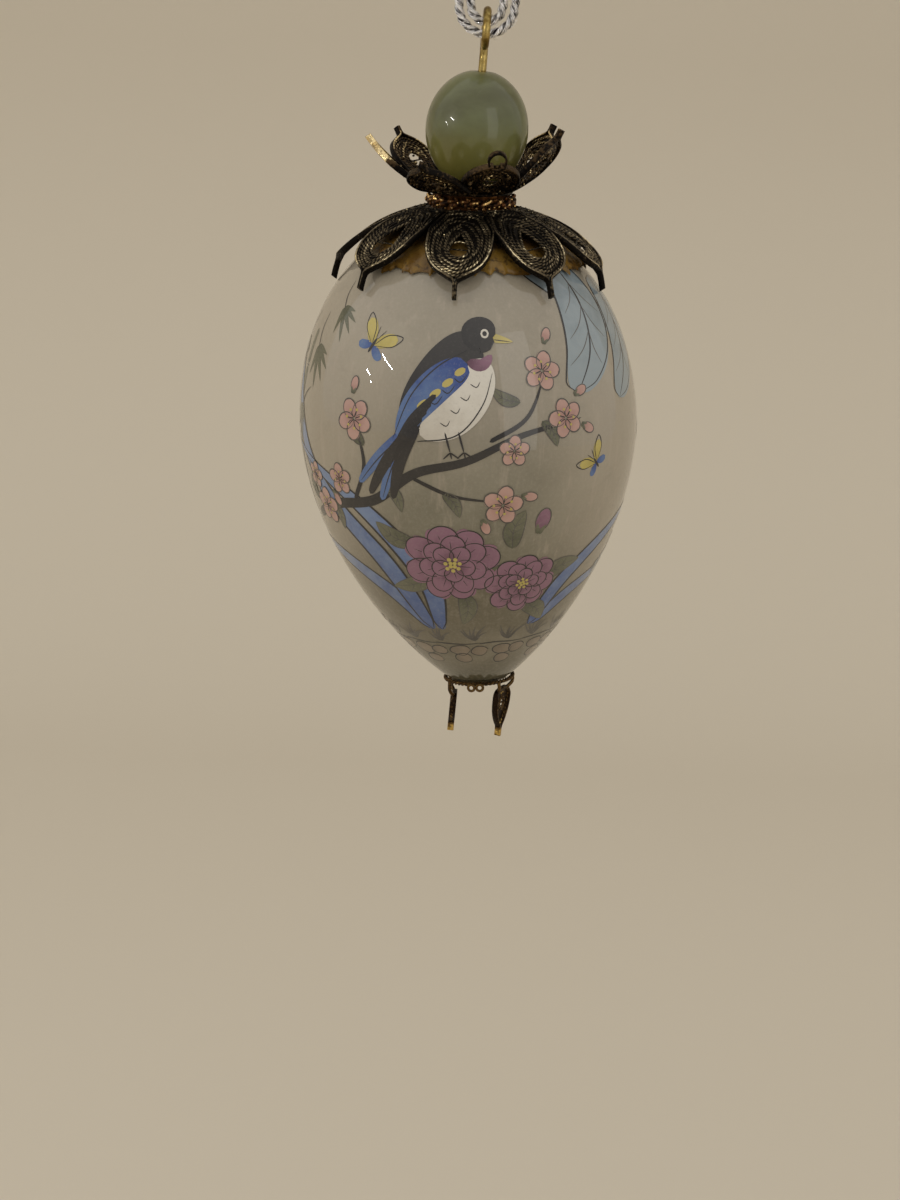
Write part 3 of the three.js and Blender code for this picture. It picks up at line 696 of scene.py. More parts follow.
def twistedCord(path, upward, settings, start=0.0):
    # each ply's middle winds round the path: offset (cos turn, sin turn) with turn = 2 pi s / pitch;
    # its section is a circle with small lobes, one for each foil thread, that wind the other way
    steps = max(12, int(settings["stepsPerMillimetre"] * np.linalg.norm(np.diff(path, axis=0), axis=1).sum()))
    path = evened(path, steps)
    along = np.linspace(0, 1, steps) * np.linalg.norm(np.diff(path, axis=0), axis=1).sum()
    _, side, normal = framed(path, upward)
    around = fullTurn(settings["sides"])[None, :]
    sheets = []
    for ply in range(settings["plies"]):
        turn = (2 * np.pi * (along / settings["pitch"] + ply / settings["plies"]) + start)[:, None]
        outward = np.cos(turn) * side + np.sin(turn) * normal
        sideways = np.cos(turn) * normal - np.sin(turn) * side
        wind = 2 * np.pi * along[:, None] / settings["threadPitch"]
        lobes = np.cos(settings["threads"] * around - wind)
        radius = settings["plyRadius"] * (1 - settings["threadDepth"] * (0.5 - 0.5 * lobes))
        points = tube(path + settings["plyOffset"] * outward, radius, around, outward, sideways)
        wound = around - wind / settings["threads"]
        lay = pointsOf(3 * np.cos(wound), 3 * np.sin(wound), along[:, None] * 0.5) + 7 * ply
        # painted shade: darker where the plies meet and in the grooves between threads, lighter on their crowns
        wearShadeAndTone = np.clip(0.5 + 0.3 * lobes + 0.35 * np.cos(around), 0, 1)
        sheets.append(sheetOf(points, closeColumns=True, capEnds=True, wearShadeAndTone=wearShadeAndTone, lay=lay))
    return sheets


def strayThreads(path, count, settings, seed):
    # thin foil threads that stand off the cord: short arcs from the path, bent back along it
    rng = np.random.default_rng(seed)
    pick = rng.integers(0, len(path) - 8, count)
    t = np.linspace(0, 1, 7)[None, :, None]
    start = path[pick][:, None]
    heading = unit(path[pick + 6] - path[pick])[:, None]
    away = unit(rng.normal(size=(count, 1, 3)))
    length = settings["strayReach"] * rng.uniform(0.45, 1, (count, 1, 1))
    line = start + settings["cordRadius"] * away + length * (t * away + 0.9 * t ** 2 * heading)
    across = unit(np.cross(away + 0 * line, heading + 0 * line)) * settings["strayWidth"]
    flat = 0.4 * np.cross(heading, across)
    ring = np.stack([line + across, line + flat, line - across, line - flat], axis=2)
    return [sheetOf(ring[i], closeColumns=True, capEnds=True, wearShadeAndTone=0.9) for i in range(count)]


def cordTurn(name, route, fuzz, seed, node):
    # fuzz says from where to where along the route stray threads stand off, and how many
    count = cordSettings["routeSteps"]
    path = throughPoints(route, count)
    sheets = twistedCord(path, np.array([0.0, 1.0, 0.02]), cordSettings)
    sheets += strayThreads(path[int(fuzz[0] * count):int(fuzz[1] * count)], fuzz[2], cordSettings, seed)
    turn = makePiece(name, sheets, moved(0, 0, eyeDepth), silverThread, "hanger", "silver_cord", node)
    return turn, (path + (0, 0, eyeDepth)) / 1000


def knotSheets(settings):
    # the binding: level turns of radius r that step up by one diameter in the last part of each
    # turn, with both ends drawn in; inside it the four strands of the two turns go up to the top
    thick, turns = settings["diameter"], settings["knotTurns"]
    t = np.linspace(0.02, turns - 0.02, settings["knotSteps"])
    step = np.clip((t % 1 - 0.72) / 0.28, 0, 1)
    rise = thick * (np.floor(t) + step * step * (3 - 2 * step))
    rise = thick / 2 + rise * (turns - 1) / turns
    ends = np.clip(np.minimum(t, turns - t) / 0.18, 0, 1)
    radius = (settings["knotDiameter"] - thick) / 2 * (0.55 + 0.45 * ends ** 0.5)
    sheets = twistedCord(aboutZ(radius, 2 * np.pi * t, rise), np.array([0.0, 0.0, 1.0]), settings)
    for x in (-settings["strandAt"], settings["strandAt"]):
        for y in (-settings["strandAt"], settings["strandAt"]):
            line = pointsOf(x, y, np.linspace(*settings["strandSpan"], settings["strandSteps"]))
            sheets += twistedCord(line, np.array([0.0, 1.0, 0.0]), settings, start=x + 2 * y)
    return sheets


outerTurn, outerPath = cordTurn("cordOuterTurn", outerRoute, (0.5, 0.75, 26), 3, "cord_outer_turn")
innerTurn, innerPath = cordTurn("cordInnerTurn", innerRoute, (0.5, 0.8, 30), 5, "cord_inner_turn")
knotPlace = moved(0, 0, eyeDepth + cordSettings["knotAboveEye"])
knot = makePiece("cordKnot", knotSheets(cordSettings), knotPlace, silverThread, "hanger", "silver_cord",
                 "cord_knot")
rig.cord(outerTurn, exit=outerPath[0], length=0.037, diameter=0.00125, far_end="knot", stiffness="limp",
        lay="hanging", path=outerPath, with_pieces=[knot])
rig.cord(innerTurn, exit=innerPath[0], length=0.0315, diameter=0.00125, far_end="knot", stiffness="limp",
        lay="hanging", path=innerPath)

# Eye pin of drawn brass wire
pinSettings = {
    "wire": 1.05, "eyeInside": 3.8, "footLength": 2.4, "footBend": 1.1, "footBelowTop": 3.5,
    "wrapFrom": 28, "wrapTo": 335, "steps": 220, "sides": 20, "endWidth": 0.8,
}


def eyePinSheets(settings):
    # a round wire along one curve: the turned foot, the stem, then a circle of the eye's radius
    top, lean = crownShape["cupTop"], math.radians(crownShape["pinLean"])
    eyeHeight, bend = crownShape["eyeHeight"], settings["footBend"]
    eye = (settings["eyeInside"] + settings["wire"]) / 2
    leaned = np.array([math.sin(lean), 0, math.cos(lean)])
    stem = lambda distance: np.array([0, 0, top]) + distance * leaned
    foot = eggShape["top"] - settings["footBelowTop"] - settings["wire"] / 2
    points = [
        (settings["footLength"], 0, foot), (bend, 0, foot), (bend * 0.3, 0, foot + bend * 0.3),
        (0, 0, foot + bend), (0, 0, (foot + top) / 2), (0, 0, top - 1), stem(1),
        stem((eyeHeight - eye) / 2), stem(eyeHeight - eye - 2), stem(eyeHeight - eye - 1)]
    angle = np.radians(np.linspace(settings["wrapFrom"], settings["wrapTo"], 24))[:, None]
    ring = stem(eyeHeight) - eye * np.cos(angle) * leaned + eye * np.sin(angle) * np.array([0, 1, 0])
    path = throughPoints(np.concatenate([points, ring]), settings["steps"])
    tangent, side, normal = framed(path, np.array([1.0, 0.001, 0.0]))
    # the foot runs along X, so its frame leans on Y there instead
    flat = np.abs(tangent[:, :1])
    side = unit(side * (1 - flat) + np.array([0, 1.0, 0]) * flat)
    normal = np.cross(side, tangent)
    around = fullTurn(settings["sides"])[None, :]
    radius = np.full((len(path), 1), settings["wire"] / 2)
    radius[[0, -1]] *= settings["endWidth"]
    along = np.arange(len(path))[:, None] * 0.02
    lay = pointsOf(9 * np.cos(around), 9 * np.sin(around), along)
    return [sheetOf(tube(path, radius, around, side, normal), closeColumns=True, capEnds=True, lay=lay)]


makePiece("eyePin", eyePinSheets(pinSettings), fromCrown, brassWire, "ornament", "bright_brass", "eye_pin")

# Green stone bead, turned smooth, with its bore
beadSettings = {"diameter": 13.35, "height": 14.75, "end": 3.0, "bore": 0.83, "edge": 0.25, "middle": 7.4,
                "around": 96, "rings": 64}


def beadSheets(settings):
    # turned once round: radius = R sin a, height = -H cos a, with a rounded lip into the bore
    half, edge, bore = settings["height"] / 2, settings["edge"], settings["bore"]
    endAngle = math.asin(settings["end"] / settings["diameter"])
    angle = np.linspace(endAngle, np.pi - endAngle, settings["rings"])
    radius = settings["diameter"] / 2 * np.sin(angle)
    height = -half * np.cos(angle) / math.cos(endAngle)
    lip = np.linspace(0, np.pi / 2, 6)[1:]
    lipRadius = radius[0] - (radius[0] - bore) * np.sin(lip)
    lipHeight = half - edge * (1 - np.cos(lip))
    inside = np.linspace(half - edge, edge - half, 6)[1:-1]
    radius = np.concatenate([radius, lipRadius, np.full(len(inside), bore), lipRadius[::-1]])
    height = np.concatenate([height, lipHeight, inside, -lipHeight[::-1]])
    return [revolvedSheet(radius, height, settings["around"], 0.0, flip=True)]


beadPlace = fromPin @ moved(0, 0, crownShape["beadBase"] + beadSettings["middle"])
makePiece("stoneBead", beadSheets(beadSettings), beadPlace, greenStone, "bead", "green_stone", "stone_bead")

# Filigree petals: a rim of strip on edge, wires of two twisted strands laid round a drop-shaped
# opening, a bar across it and the strip's ends brought together in a nib
capPetal = {
    "count": 8, "turn": -7, "root": 5.9, "length": 13.2, "widestAt": 8.2, "width": 8.5,
    "openCentre": 8.9, "openTail": 2.7, "openHead": 1.2, "openWidth": 2.3, "nibLength": 2.6,
    "ogee": 0.45, "taper": 0.8, "nibWidth": 0.85, "worn": (0.3, 0.5, 5.5, 4.0, -0.5), "wireWear": 0.36,
    "openGrow": ((0.1, 0.1), (0.6, 0.8), (0.6, 0.8), (0.5, 0.4), (0.2, 0.3), (0.6, 0.6), (0.5, 0.7),
                 (1.2, 1.6)),
    "lift": (0.12, 0.2, 0.12, 0.12, 0.22, 0.12, 0.1, 0.16),
    "ownTurn": (0, -4, -7, 0, 1, 0, 0, 1),
    "nibDips": (1.1, 1.1, 1.45, 1.1, 1.2, 1.1, 1.3, 1.1),
    "grains": {"count": 34, "reach": 7.0, "crowding": 1.6, "below": 0.0, "size": (0.08, 0.17),
               "wearShadeAndTone": (0.1, 0.8), "seed": 40},
    "hub": (0.9, 6.3), "hubSteps": 24, "gap": 0.175,
}
cupPetal = {
    "count": 7, "turn": 16, "root": 4.8, "length": 10.0, "widestAt": 6.2, "width": 7.4,
    "openCentre": 6.0, "openTail": 2.1, "openHead": 1.0, "openWidth": 1.9, "nibLength": 1.6,
    "ogee": 0.4, "taper": 0.8, "nibWidth": 0.85, "worn": (0.22, 0.5, 4.5, 4.0, -0.1), "wireWear": 0.33,
    "openGrow": ((0.2, 0.2), (0.5, 0.5), (0.5, 0.5), (0.5, 0.5), (0.5, 0.6), (0.4, 0.5), (0.2, 0.2)),
    "open": (16, -4, -3, 0, 4, 7, 22),
    "ownTurn": (-4, 0, 0, 2, 7, 0, 9),
    # glow lifts the rim's nib half on some cup petals: partly worn brass, partly a painted highlight
    "glow": (0.3, 0.25, 0, 0, 0, 0.8, 0.1),
    "startSlope": 26, "bendRadius": 19, "seat": 0.12, "seed": 20,
    "loopNib": {"petal": 0, "length": 1.9, "width": 2.0, "wire": 0.26, "rise": 0.9},
    "grains": {"count": 80, "reach": 8.0, "crowding": 1.1, "below": 0.75, "size": (0.1, 0.26),
               "wearShadeAndTone": (0.1, 0.75), "seed": 60},
    "hub": (0.9, 5.3, 5.4), "hubLip": 0.2, "hubRing": 5.16, "hubWire": 0.24, "hubWireUp": 0.22,
    "hubTwist": (0.9, 0.4), "gap": 0.175,
}
legPetal = {
    "widestAt": 1.4, "width": 4.3, "openCentre": 2.2, "openTail": 0.9, "openHead": 0.8,
    "openWidth": 1.3, "nibLength": 1.3, "ogee": 0.2, "taper": 1.4, "nibWidth": 0.8,
    "openGrow": ((0, 0),), "wireWear": 0.25, "worn": (0.25, 0.0, 0.0, 1.0, 0.6),
}
filigreeWork = {
    "strip": 0.3, "stripHeight": 0.86, "rootHeight": 0.72, "stripSteps": 190, "stripEdge": 0.07,
    "ogeeSharpness": 40, "nibBack": 0.35, "nibSteps": 30, "outlineSteps": 1500, "sway": 0.05,
    "wire": 0.45, "wireUp": 0.44, "wires": 6, "wireSteps": 230, "wireSides": 6, "wireOutline": 1400,
    "twist": 0.56, "twistDepth": 0.3, "twistGlow": 0.3, "webLow": 0.36, "webHigh": 0.44, "webSteps": 90,
    "bar": 0.25, "barUp": 0.42, "archedBars": (0, 3, 5),
}


def arcGuide(startRadius, startHeight, startSlope, curvature):
    # slope grows evenly along the arc; radius and height are its integrals
    def at(along):
        slope = startSlope + curvature * along
        radius = startRadius + (np.sin(slope) - math.sin(startSlope)) / curvature
        height = startHeight - (np.cos(slope) - math.cos(startSlope)) / curvature
        return radius, height, slope
    return at


def laid(guide, azimuth, along, across, up):
    # (along, across, up) of a petal set on its guide at an azimuth from the front
    radius, height, slope = guide(along)
    radius, height = radius - up * np.sin(slope), height + up * np.cos(slope)
    right, near = math.sin(azimuth), -math.cos(azimuth)
    return pointsOf(radius * right - across * near, radius * near + across * right, height)


def petalRings(petal, limit, turn, grow, pointed=0.6):
    # the outer outline and the opening's outline at turns from the root round to the tip and back;
    # the higher pointed is, the more the outline narrows to the root
    side, back = np.sin(turn), np.cos(turn)
    rootwards = back > 0
    tail = petal["widestAt"] * np.abs(back) ** 0.6
    tip = (petal["length"] - petal["widestAt"]) * back
    outAlong = petal["widestAt"] - np.where(rootwards, tail, tip)
    outAlong = outAlong + np.where(rootwards, 0, petal["ogee"] * back ** filigreeWork["ogeeSharpness"])
    full = petal["width"] / 2 * np.abs(side) ** np.where(rootwards, pointed, petal["taper"])
    outAcross = np.sign(side) * np.minimum(full, limit(outAlong))
    wider, longer = grow
    reach = np.where(rootwards, petal["openTail"] + longer, petal["openHead"] + longer / 2)
    openAlong = petal["openCentre"] - reach * back
    narrowed = np.where(rootwards, np.abs(np.sin(turn / 2)) * 1.41, 1)
    openAcross = (petal["openWidth"] + wider) / 2 * side * narrowed
    return pointsOf(outAlong, outAcross), pointsOf(openAlong, openAcross)


def smoothed(path, rounds, closed):
    # each point moved halfway to the middle of its neighbours, some rounds over
    for _ in range(rounds):
        before, after = np.roll(path, 1, axis=0), np.roll(path, -1, axis=0)
        middle = 0.5 * path + 0.25 * (before + after)
        if not closed:
            middle[[0, -1]] = path[[0, -1]]
        path = middle
    return path


def flatSweep(path, profile, closed, place, wearShadeAndTone, twisted=None):
    # a closed profile of (outward, up) carried along a flat path of (along, across); where twisted
    # (pitch, depth) is given, the profile swells on two sides that wind along the path
    if closed:
        step = np.roll(path, -1, axis=0) - np.roll(path, 1, axis=0)
    else:
        step = np.gradient(path, axis=0)
    heading = unit(step)
    outward = pointsOf(heading[:, 1], -heading[:, 0])
    length = np.concatenate([[0], np.cumsum(np.linalg.norm(np.diff(path, axis=0), axis=1))])
    count = len(profile)
    swell = np.ones((len(path), count))
    glow = np.broadcast_to(wearShadeAndTone, (len(path), count))
    if twisted:
        pitch, depth = twisted
        turns = length[-1] / pitch
        if closed:
            turns = max(1, round(turns))
        wave = np.cos(2 * fullTurn(count)[None, :] - 2 * np.pi * turns * (length / length[-1])[:, None])
        swell = 1 - depth * (0.5 - 0.5 * wave)
        glow = np.clip(glow + filigreeWork["twistGlow"] * wave, 0, 1)
    middle = profile.mean(axis=0)
    offset = middle + (profile - middle)[None] * swell[..., None]
    along = path[:, None, 0] + outward[:, None, 0] * offset[..., 0]
    across = path[:, None, 1] + outward[:, None, 1] * offset[..., 0]
    points = place(along, across, offset[..., 1])
    return sheetOf(points, closeRows=closed, closeColumns=True, capEnds=not closed, wearShadeAndTone=glow)


def roundProfile(radius, up, sides):
    around = fullTurn(sides)
    return pointsOf(radius * np.cos(around), up + radius * np.sin(around))


def rimStrip(petal, limit, grow, work, place, loop, seed, rng, glow, tipGold):
    # a strip on edge, from the nib's end round the petal and back to the nib
    length, widest = petal["length"], petal["widestAt"]
    outer = petalRings(petal, limit, np.linspace(np.pi, -np.pi, work["outlineSteps"]), grow)[0]
    nibHalf = petal["nibWidth"] / 2 if loop else (petal["nibWidth"] - work["strip"]) / 2
    rim = outer[(np.abs(outer[:, 1]) > nibHalf) | (outer[:, 0] < widest)]
    nibEnd = length + (0.1 if loop else petal["nibLength"])
    nibAlong = np.linspace(nibEnd, rim[0, 0], work["nibSteps"])
    side = np.sign(rim[0, 1])
    nibs = [pointsOf(nibAlong, 0 * nibAlong + half) for half in (side * nibHalf, -side * nibHalf)]
    rim = np.concatenate([nibs[0], rim, nibs[1][::-1]])
    rim = smoothed(evened(rim, work["stripSteps"]), 5, False)
    # the strip is bent by hand: it sways a little, and stands lower towards the root
    lap = np.linspace(0, 1, len(rim))
    rim[:, 1] += 0.03 * np.sin(31 * lap + seed) * np.sin(np.pi * lap)

    def standing(along, across, up):
        share = np.clip((along - 0.3 * widest) / (0.6 * widest), 0, 1)
        return place(along, across, up * (work["rootHeight"] + (1 - work["rootHeight"]) * share))

    # outward points away from the petal along this path: the strip stands inside the outline
    top, wide, edge = work["stripHeight"], work["strip"], work["stripEdge"]
    strip = np.array([(0, edge), (0, top - edge), (-edge, top), (edge - wide, top), (-wide, top - edge),
                      (-wide, edge), (edge - wide, 0.0), (-edge, 0.0)])
    # the rim's top edge is worn in patches, most of all towards the tip
    base, gain, wornFrom, span, nibGain = petal["worn"]
    tipwards = np.clip((rim[:, :1] - wornFrom) / span, 0, 1)
    nibwards = np.clip((rim[:, :1] - length + 0.1) / 0.7, 0, 1)
    patches = sum(rng.normal() * np.sin(np.linspace(0, 6.28 * (k + 3), len(rim)) + k) for k in range(5))
    polish = base + gain * tipwards + nibGain * nibwards + 0.1 * patches[:, None]
    wearShadeAndTone = polish * np.array([0.08, 0.2, 1.0, 1.0, 0.4, 0.12, 0.08, 0.1])
    # glow brightens the nib half of the rim, partly as a painted highlight
    wearShadeAndTone = wearShadeAndTone + glow * np.clip((rim[:, :1] - widest) / 2, 0, 1)
    wearShadeAndTone = np.clip(np.maximum(wearShadeAndTone, tipGold * nibwards), 0, 1)
    sheet = flatSweep(rim, strip * (side, 1), False, standing, wearShadeAndTone)
    if side < 0:
        sheet["quads"] = sheet["quads"][:, ::-1]
        sheet["caps"] = [cap[::-1] for cap in sheet["caps"]]
    return sheet


def petalSheets(petal, guide, azimuth, limit, work, dip=0.0, loop=None, seed=0, glow=0.0, tipGold=0.0):
    # one petal: its rim strip, its wires and their web, the bars of its opening and its loop
    rng = np.random.default_rng(seed)
    own = seed % 20
    grow = petal["openGrow"][own % len(petal["openGrow"])]
    nibRoot, nibEnd = petal["length"] - work["nibBack"], petal["length"] + petal["nibLength"]

    def place(along, across, up):
        bend = np.clip((along - nibRoot) / (nibEnd - nibRoot), 0, 1)
        return laid(guide, azimuth, along, across, up - dip * bend)

    sheets = [rimStrip(petal, limit, grow, work, place, loop, seed, rng, glow, tipGold)]

    # twisted wires between the opening and the strip
    turn, lap = fullTurn(work["wireOutline"]), np.linspace(0, 2 * np.pi, work["wireSteps"])
    outer, opening = petalRings(petal, limit, turn, grow)
    profile = roundProfile(work["wire"] / 2, work["wireUp"], work["wireSides"])
    twisted = (work["twist"], work["twistDepth"])
    for share in np.linspace(0.05, 0.86, work["wires"]):
        # each wire sways a little from its even share of the way and carries its own polish
        waves = rng.normal(size=4) * np.array([0.6, 0.5, 0.4, 0.3]) * work["sway"]
        sway = sum(w * np.sin((k + 2) * turn + k) for k, w in enumerate(waves))
        part = np.clip(share + sway * (share > 0.1), 0.03, 0.88)[:, None]
        inner = petalRings(petal, limit, turn, grow, 1.5 - 0.9 * share)[0]
        ring = smoothed(evened(opening + part * (inner - opening), work["wireSteps"], True), 2, True)
        shiny = 0.12 * np.clip((ring[:, 0] - petal["openCentre"]) / 2, -1, 1)
        patches = 0.1 * np.sin(3 * lap + rng.uniform(0, 6)) + 0.1 * np.sin(8 * lap + rng.uniform(0, 6))
        polish = petal["wireWear"] + 0.08 * rng.normal() + shiny + patches
        sheets.append(flatSweep(ring, profile, True, place, polish[:, None], twisted))

    # thin solder web that the wires lie in
    ringA = evened(opening, work["webSteps"], True)
    ringB = evened(opening + 0.92 * (outer - opening), work["webSteps"], True)
    shares = np.array([0, 0.25, 0.5, 0.75, 1, 1, 0.5, 0])
    ups = np.array([work["webHigh"]] * 5 + [work["webLow"]] * 3)
    flat = ringA[:, None] + shares[None, :, None] * (ringB - ringA)[:, None]
    web = place(flat[..., 0], flat[..., 1], np.broadcast_to(ups, flat.shape[:2]))
    sheets.append(sheetOf(web, closeRows=True, closeColumns=True, wearShadeAndTone=0.12, flip=True))

    # a bar across the opening, and an arched one above it in some petals
    reach = petal["openWidth"] / 2 + 0.3
    across = np.linspace(-reach, reach, 24)
    lean = rng.uniform(-0.3, 0.3)
    bars = [(pointsOf(petal["openCentre"] + lean * across, across), 0.15)]
    if own in work["archedBars"]:
        bars.append((pointsOf(petal["openCentre"] - 1.5 + 0.7 * across ** 2, across)[6:18], 0.7))
    profile = roundProfile(work["bar"] / 2, work["barUp"], work["wireSides"])
    for bar, wearShadeAndTone in bars:
        sheets.append(flatSweep(bar, profile, False, place, wearShadeAndTone, twisted))

    if loop:
        turn = fullTurn(64)
        ring = pointsOf(petal["length"] + loop["length"] / 2 * (1 - np.cos(turn)) - loop["wire"],
                        loop["width"] / 2 * np.sin(turn))

        def rising(along, across, up):
            lifted = up + loop["rise"] * (along - petal["length"]) / loop["length"]
            return laid(guide, azimuth, along, across, lifted)

        flatWire = np.array([(0, 0.1), (0, 0.6), (-loop["wire"], 0.6), (-loop["wire"], 0.1)])
        sheets.append(flatSweep(ring, flatWire, True, rising, np.array([0.15, 0.75, 0.6, 0.15])))
    return sheets


def grainSheet(middles, sizes, wearShadeAndTone, rng):
    # small lumps of solder: each an ellipsoid of 4 rings of 6 points with its own three radii
    rings, sides = 4, 6
    each, count = rings * sides, len(middles)
    polar = np.radians([14, 62, 118, 166])[:, None]
    around = fullTurn(sides)[None, :]
    ball = pointsOf(np.sin(polar) * np.cos(around), np.sin(polar) * np.sin(around), np.cos(polar))
    uneven = rng.uniform(0.65, 1.35, (count, 1, 1, 3))
    points = middles[:, None, None] + sizes[:, None, None, None] * uneven * ball[None]
    starts = each * np.arange(count)
    quads = (gridQuads(rings, sides, False, True)[None, :, ::-1] + starts[:, None, None]).reshape(-1, 4)
    caps = [start + np.arange(sides)[::-1] for start in starts]
    caps += [start + each - sides + np.arange(sides) for start in starts]
    return {"points": points.reshape(-1, 3), "quads": quads, "caps": caps, "wearShadeAndTone": np.repeat(wearShadeAndTone, each),
            "lay": np.zeros((count * each, 3))}


def petalGrains(petal, guide, azimuth, limit, index):
    # lumps strewn over a petal, most of them towards its root, above or below its web
    grains = petal["grains"]
    count, rng = grains["count"], np.random.default_rng(grains["seed"] + index)
    along = grains["reach"] * rng.uniform(0, 1, count) ** grains["crowding"]
    across = rng.uniform(-0.9, 0.9, count) * np.minimum(limit(along), petal["width"] / 2)
    up = np.where(rng.uniform(0, 1, count) < grains["below"], 0.16, 0.62)
    middles = laid(guide, azimuth, along, across, up)
    return grainSheet(middles, rng.uniform(*grains["size"], count), rng.uniform(*grains["wearShadeAndTone"], count), rng)


def azimuthOf(petal, index):
    return math.radians(petal["turn"] + 360 * index / petal["count"] + petal["ownTurn"][index])


def limitOf(petal, guide):
    # the half width that a petal's share of the circle leaves it, at any place along its guide
    slope = math.tan(math.pi / petal["count"])
    return lambda along: guide(along)[0] * slope - petal["gap"]


def capSheets():
    inside, middle = crownShape["capInside"], eggShape["shoulderCentre"]
    start = math.asin(capPetal["root"] / inside)
    sheets = []
    for i, lift in enumerate(capPetal["lift"]):
        azimuth, radius = azimuthOf(capPetal, i), inside + lift
        guide = arcGuide(capPetal["root"], middle + radius * math.cos(start), -start, -1 / radius)
        limit = limitOf(capPetal, guide)
        sheets += petalSheets(capPetal, guide, azimuth, limit, filigreeWork, capPetal["nibDips"][i], seed=i)
        sheets.append(petalGrains(capPetal, guide, azimuth, limit, i))
    # the hub is a shallow rippled dome under the petals' roots
    low, high = (math.asin(edge / inside) for edge in capPetal["hub"])
    angle = np.linspace(low, high, capPetal["hubSteps"])
    outside = crownShape["hubTop"] + 0.05 * np.cos(np.linspace(0, 14 * np.pi, capPetal["hubSteps"]))
    reach = np.concatenate([0 * angle + inside, outside[::-1]])
    angle = np.concatenate([angle, angle[::-1]])
    sheets.append(revolvedSheet(reach * np.sin(angle), middle + reach * np.cos(angle), 120, 0.25))
    return sheets


def cupSheets():
    sheets = []
    base, top = crownShape["cupBase"], crownShape["cupTop"]
    for i, opened in enumerate(cupPetal["open"]):
        azimuth, slope = azimuthOf(cupPetal, i), math.radians(cupPetal["startSlope"] - opened)
        guide = arcGuide(cupPetal["root"], base + cupPetal["seat"], slope, 1 / cupPetal["bendRadius"])
        limit = limitOf(cupPetal, guide)
        loop = cupPetal["loopNib"] if i == cupPetal["loopNib"]["petal"] else None
        sheets += petalSheets(cupPetal, guide, azimuth, limit, filigreeWork, loop=loop,
                              seed=cupPetal["seed"] + i, glow=cupPetal["glow"][i])
        sheets.append(petalGrains(cupPetal, guide, azimuth, limit, i))
    inner, outer, widest = cupPetal["hub"]
    height = [base, base, base + cupPetal["hubLip"], top, top]
    sheets.append(revolvedSheet([inner, outer, widest, outer, inner], height, 96, 0.2, flip=True))
    # the hub's edge is a ring of twisted wire
    turn = fullTurn(400)
    ring = cupPetal["hubRing"] * pointsOf(np.sin(turn), -np.cos(turn))
    edge = lambda x, y, up: pointsOf(x, y, base + up)
    profile = roundProfile(cupPetal["hubWire"], cupPetal["hubWireUp"], 6)
    sheets.append(flatSweep(ring, profile, True, edge, 0.4, cupPetal["hubTwist"]))
    return sheets


makePiece("filigreeCap", capSheets(), fromCrown, filigreeMetal, "ornament", "aged_brass", "filigree_cap")
makePiece("filigreeCup", cupSheets(), fromCrown, cupShadedMetal, "ornament", "aged_brass", "filigree_cup")

# Collar: a ring wound from fine wire, with adhesive pressed out round it
collarSettings = {
    "radius": 5.36, "strand": 0.34, "offset": 0.27, "lays": 20, "steps": 620, "sides": 9, "seed": 5,
    "waves": (3, 7, 16, 23, 31, 47), "grains": 190, "grainReach": (-0.15, 0.3), "grainHeight": (-0.75, 0.7),
    "grainSize": (0.14, 0.3),
}
filletSettings = {
    "radius": 5.18, "waist": 0.32, "flare": 0.35, "bore": 1.0, "around": 160, "down": 14, "seed": 11,
}


def collarSheets(settings):
    # each strand winds round the ring's middle line: minor angle is lays / 2 times the major angle,
    # and its own radius swells a little at random so that the lays look pressed and uneven
    rng = np.random.default_rng(settings["seed"])
    major, middle = fullTurn(settings["steps"]), crownShape["collarHeight"]
    sheets = []
    for strand in range(2):
        waves = settings["waves"]
        uneven = sum(rng.uniform(0.01, 0.04) * np.sin(k * major + rng.uniform(0, 6)) for k in waves)
        minor = settings["lays"] / 2 * major + np.pi * strand + 3 * uneven
        offset = settings["offset"] + 0.5 * uneven
        path = aboutZ(settings["radius"] + offset * np.cos(minor), major, middle + offset * np.sin(minor))
        out = aboutZ(np.cos(minor), major, np.sin(minor))
        thick = (settings["strand"] + 0.6 * uneven - 0.02)[:, None]
        wearShadeAndTone = np.clip(0.3 + 0.25 * np.cos(fullTurn(settings["sides"])) + 6 * uneven[:, None], 0, 1)
        sheets.append(wireSheet(path, thick, settings["sides"], out, wearShadeAndTone, True))
    # grains of solder lie all round it
    count = settings["grains"]
    around = rng.uniform(0, 2 * np.pi, count)
    reach = settings["radius"] + rng.uniform(*settings["grainReach"], count)
    middles = aboutZ(reach, around, middle + rng.uniform(*settings["grainHeight"], count))
    sizes, wearShadeAndTone = rng.uniform(*settings["grainSize"], count), rng.uniform(0, 0.8, count)
    sheets.append(grainSheet(middles, sizes, wearShadeAndTone, rng))
    return sheets


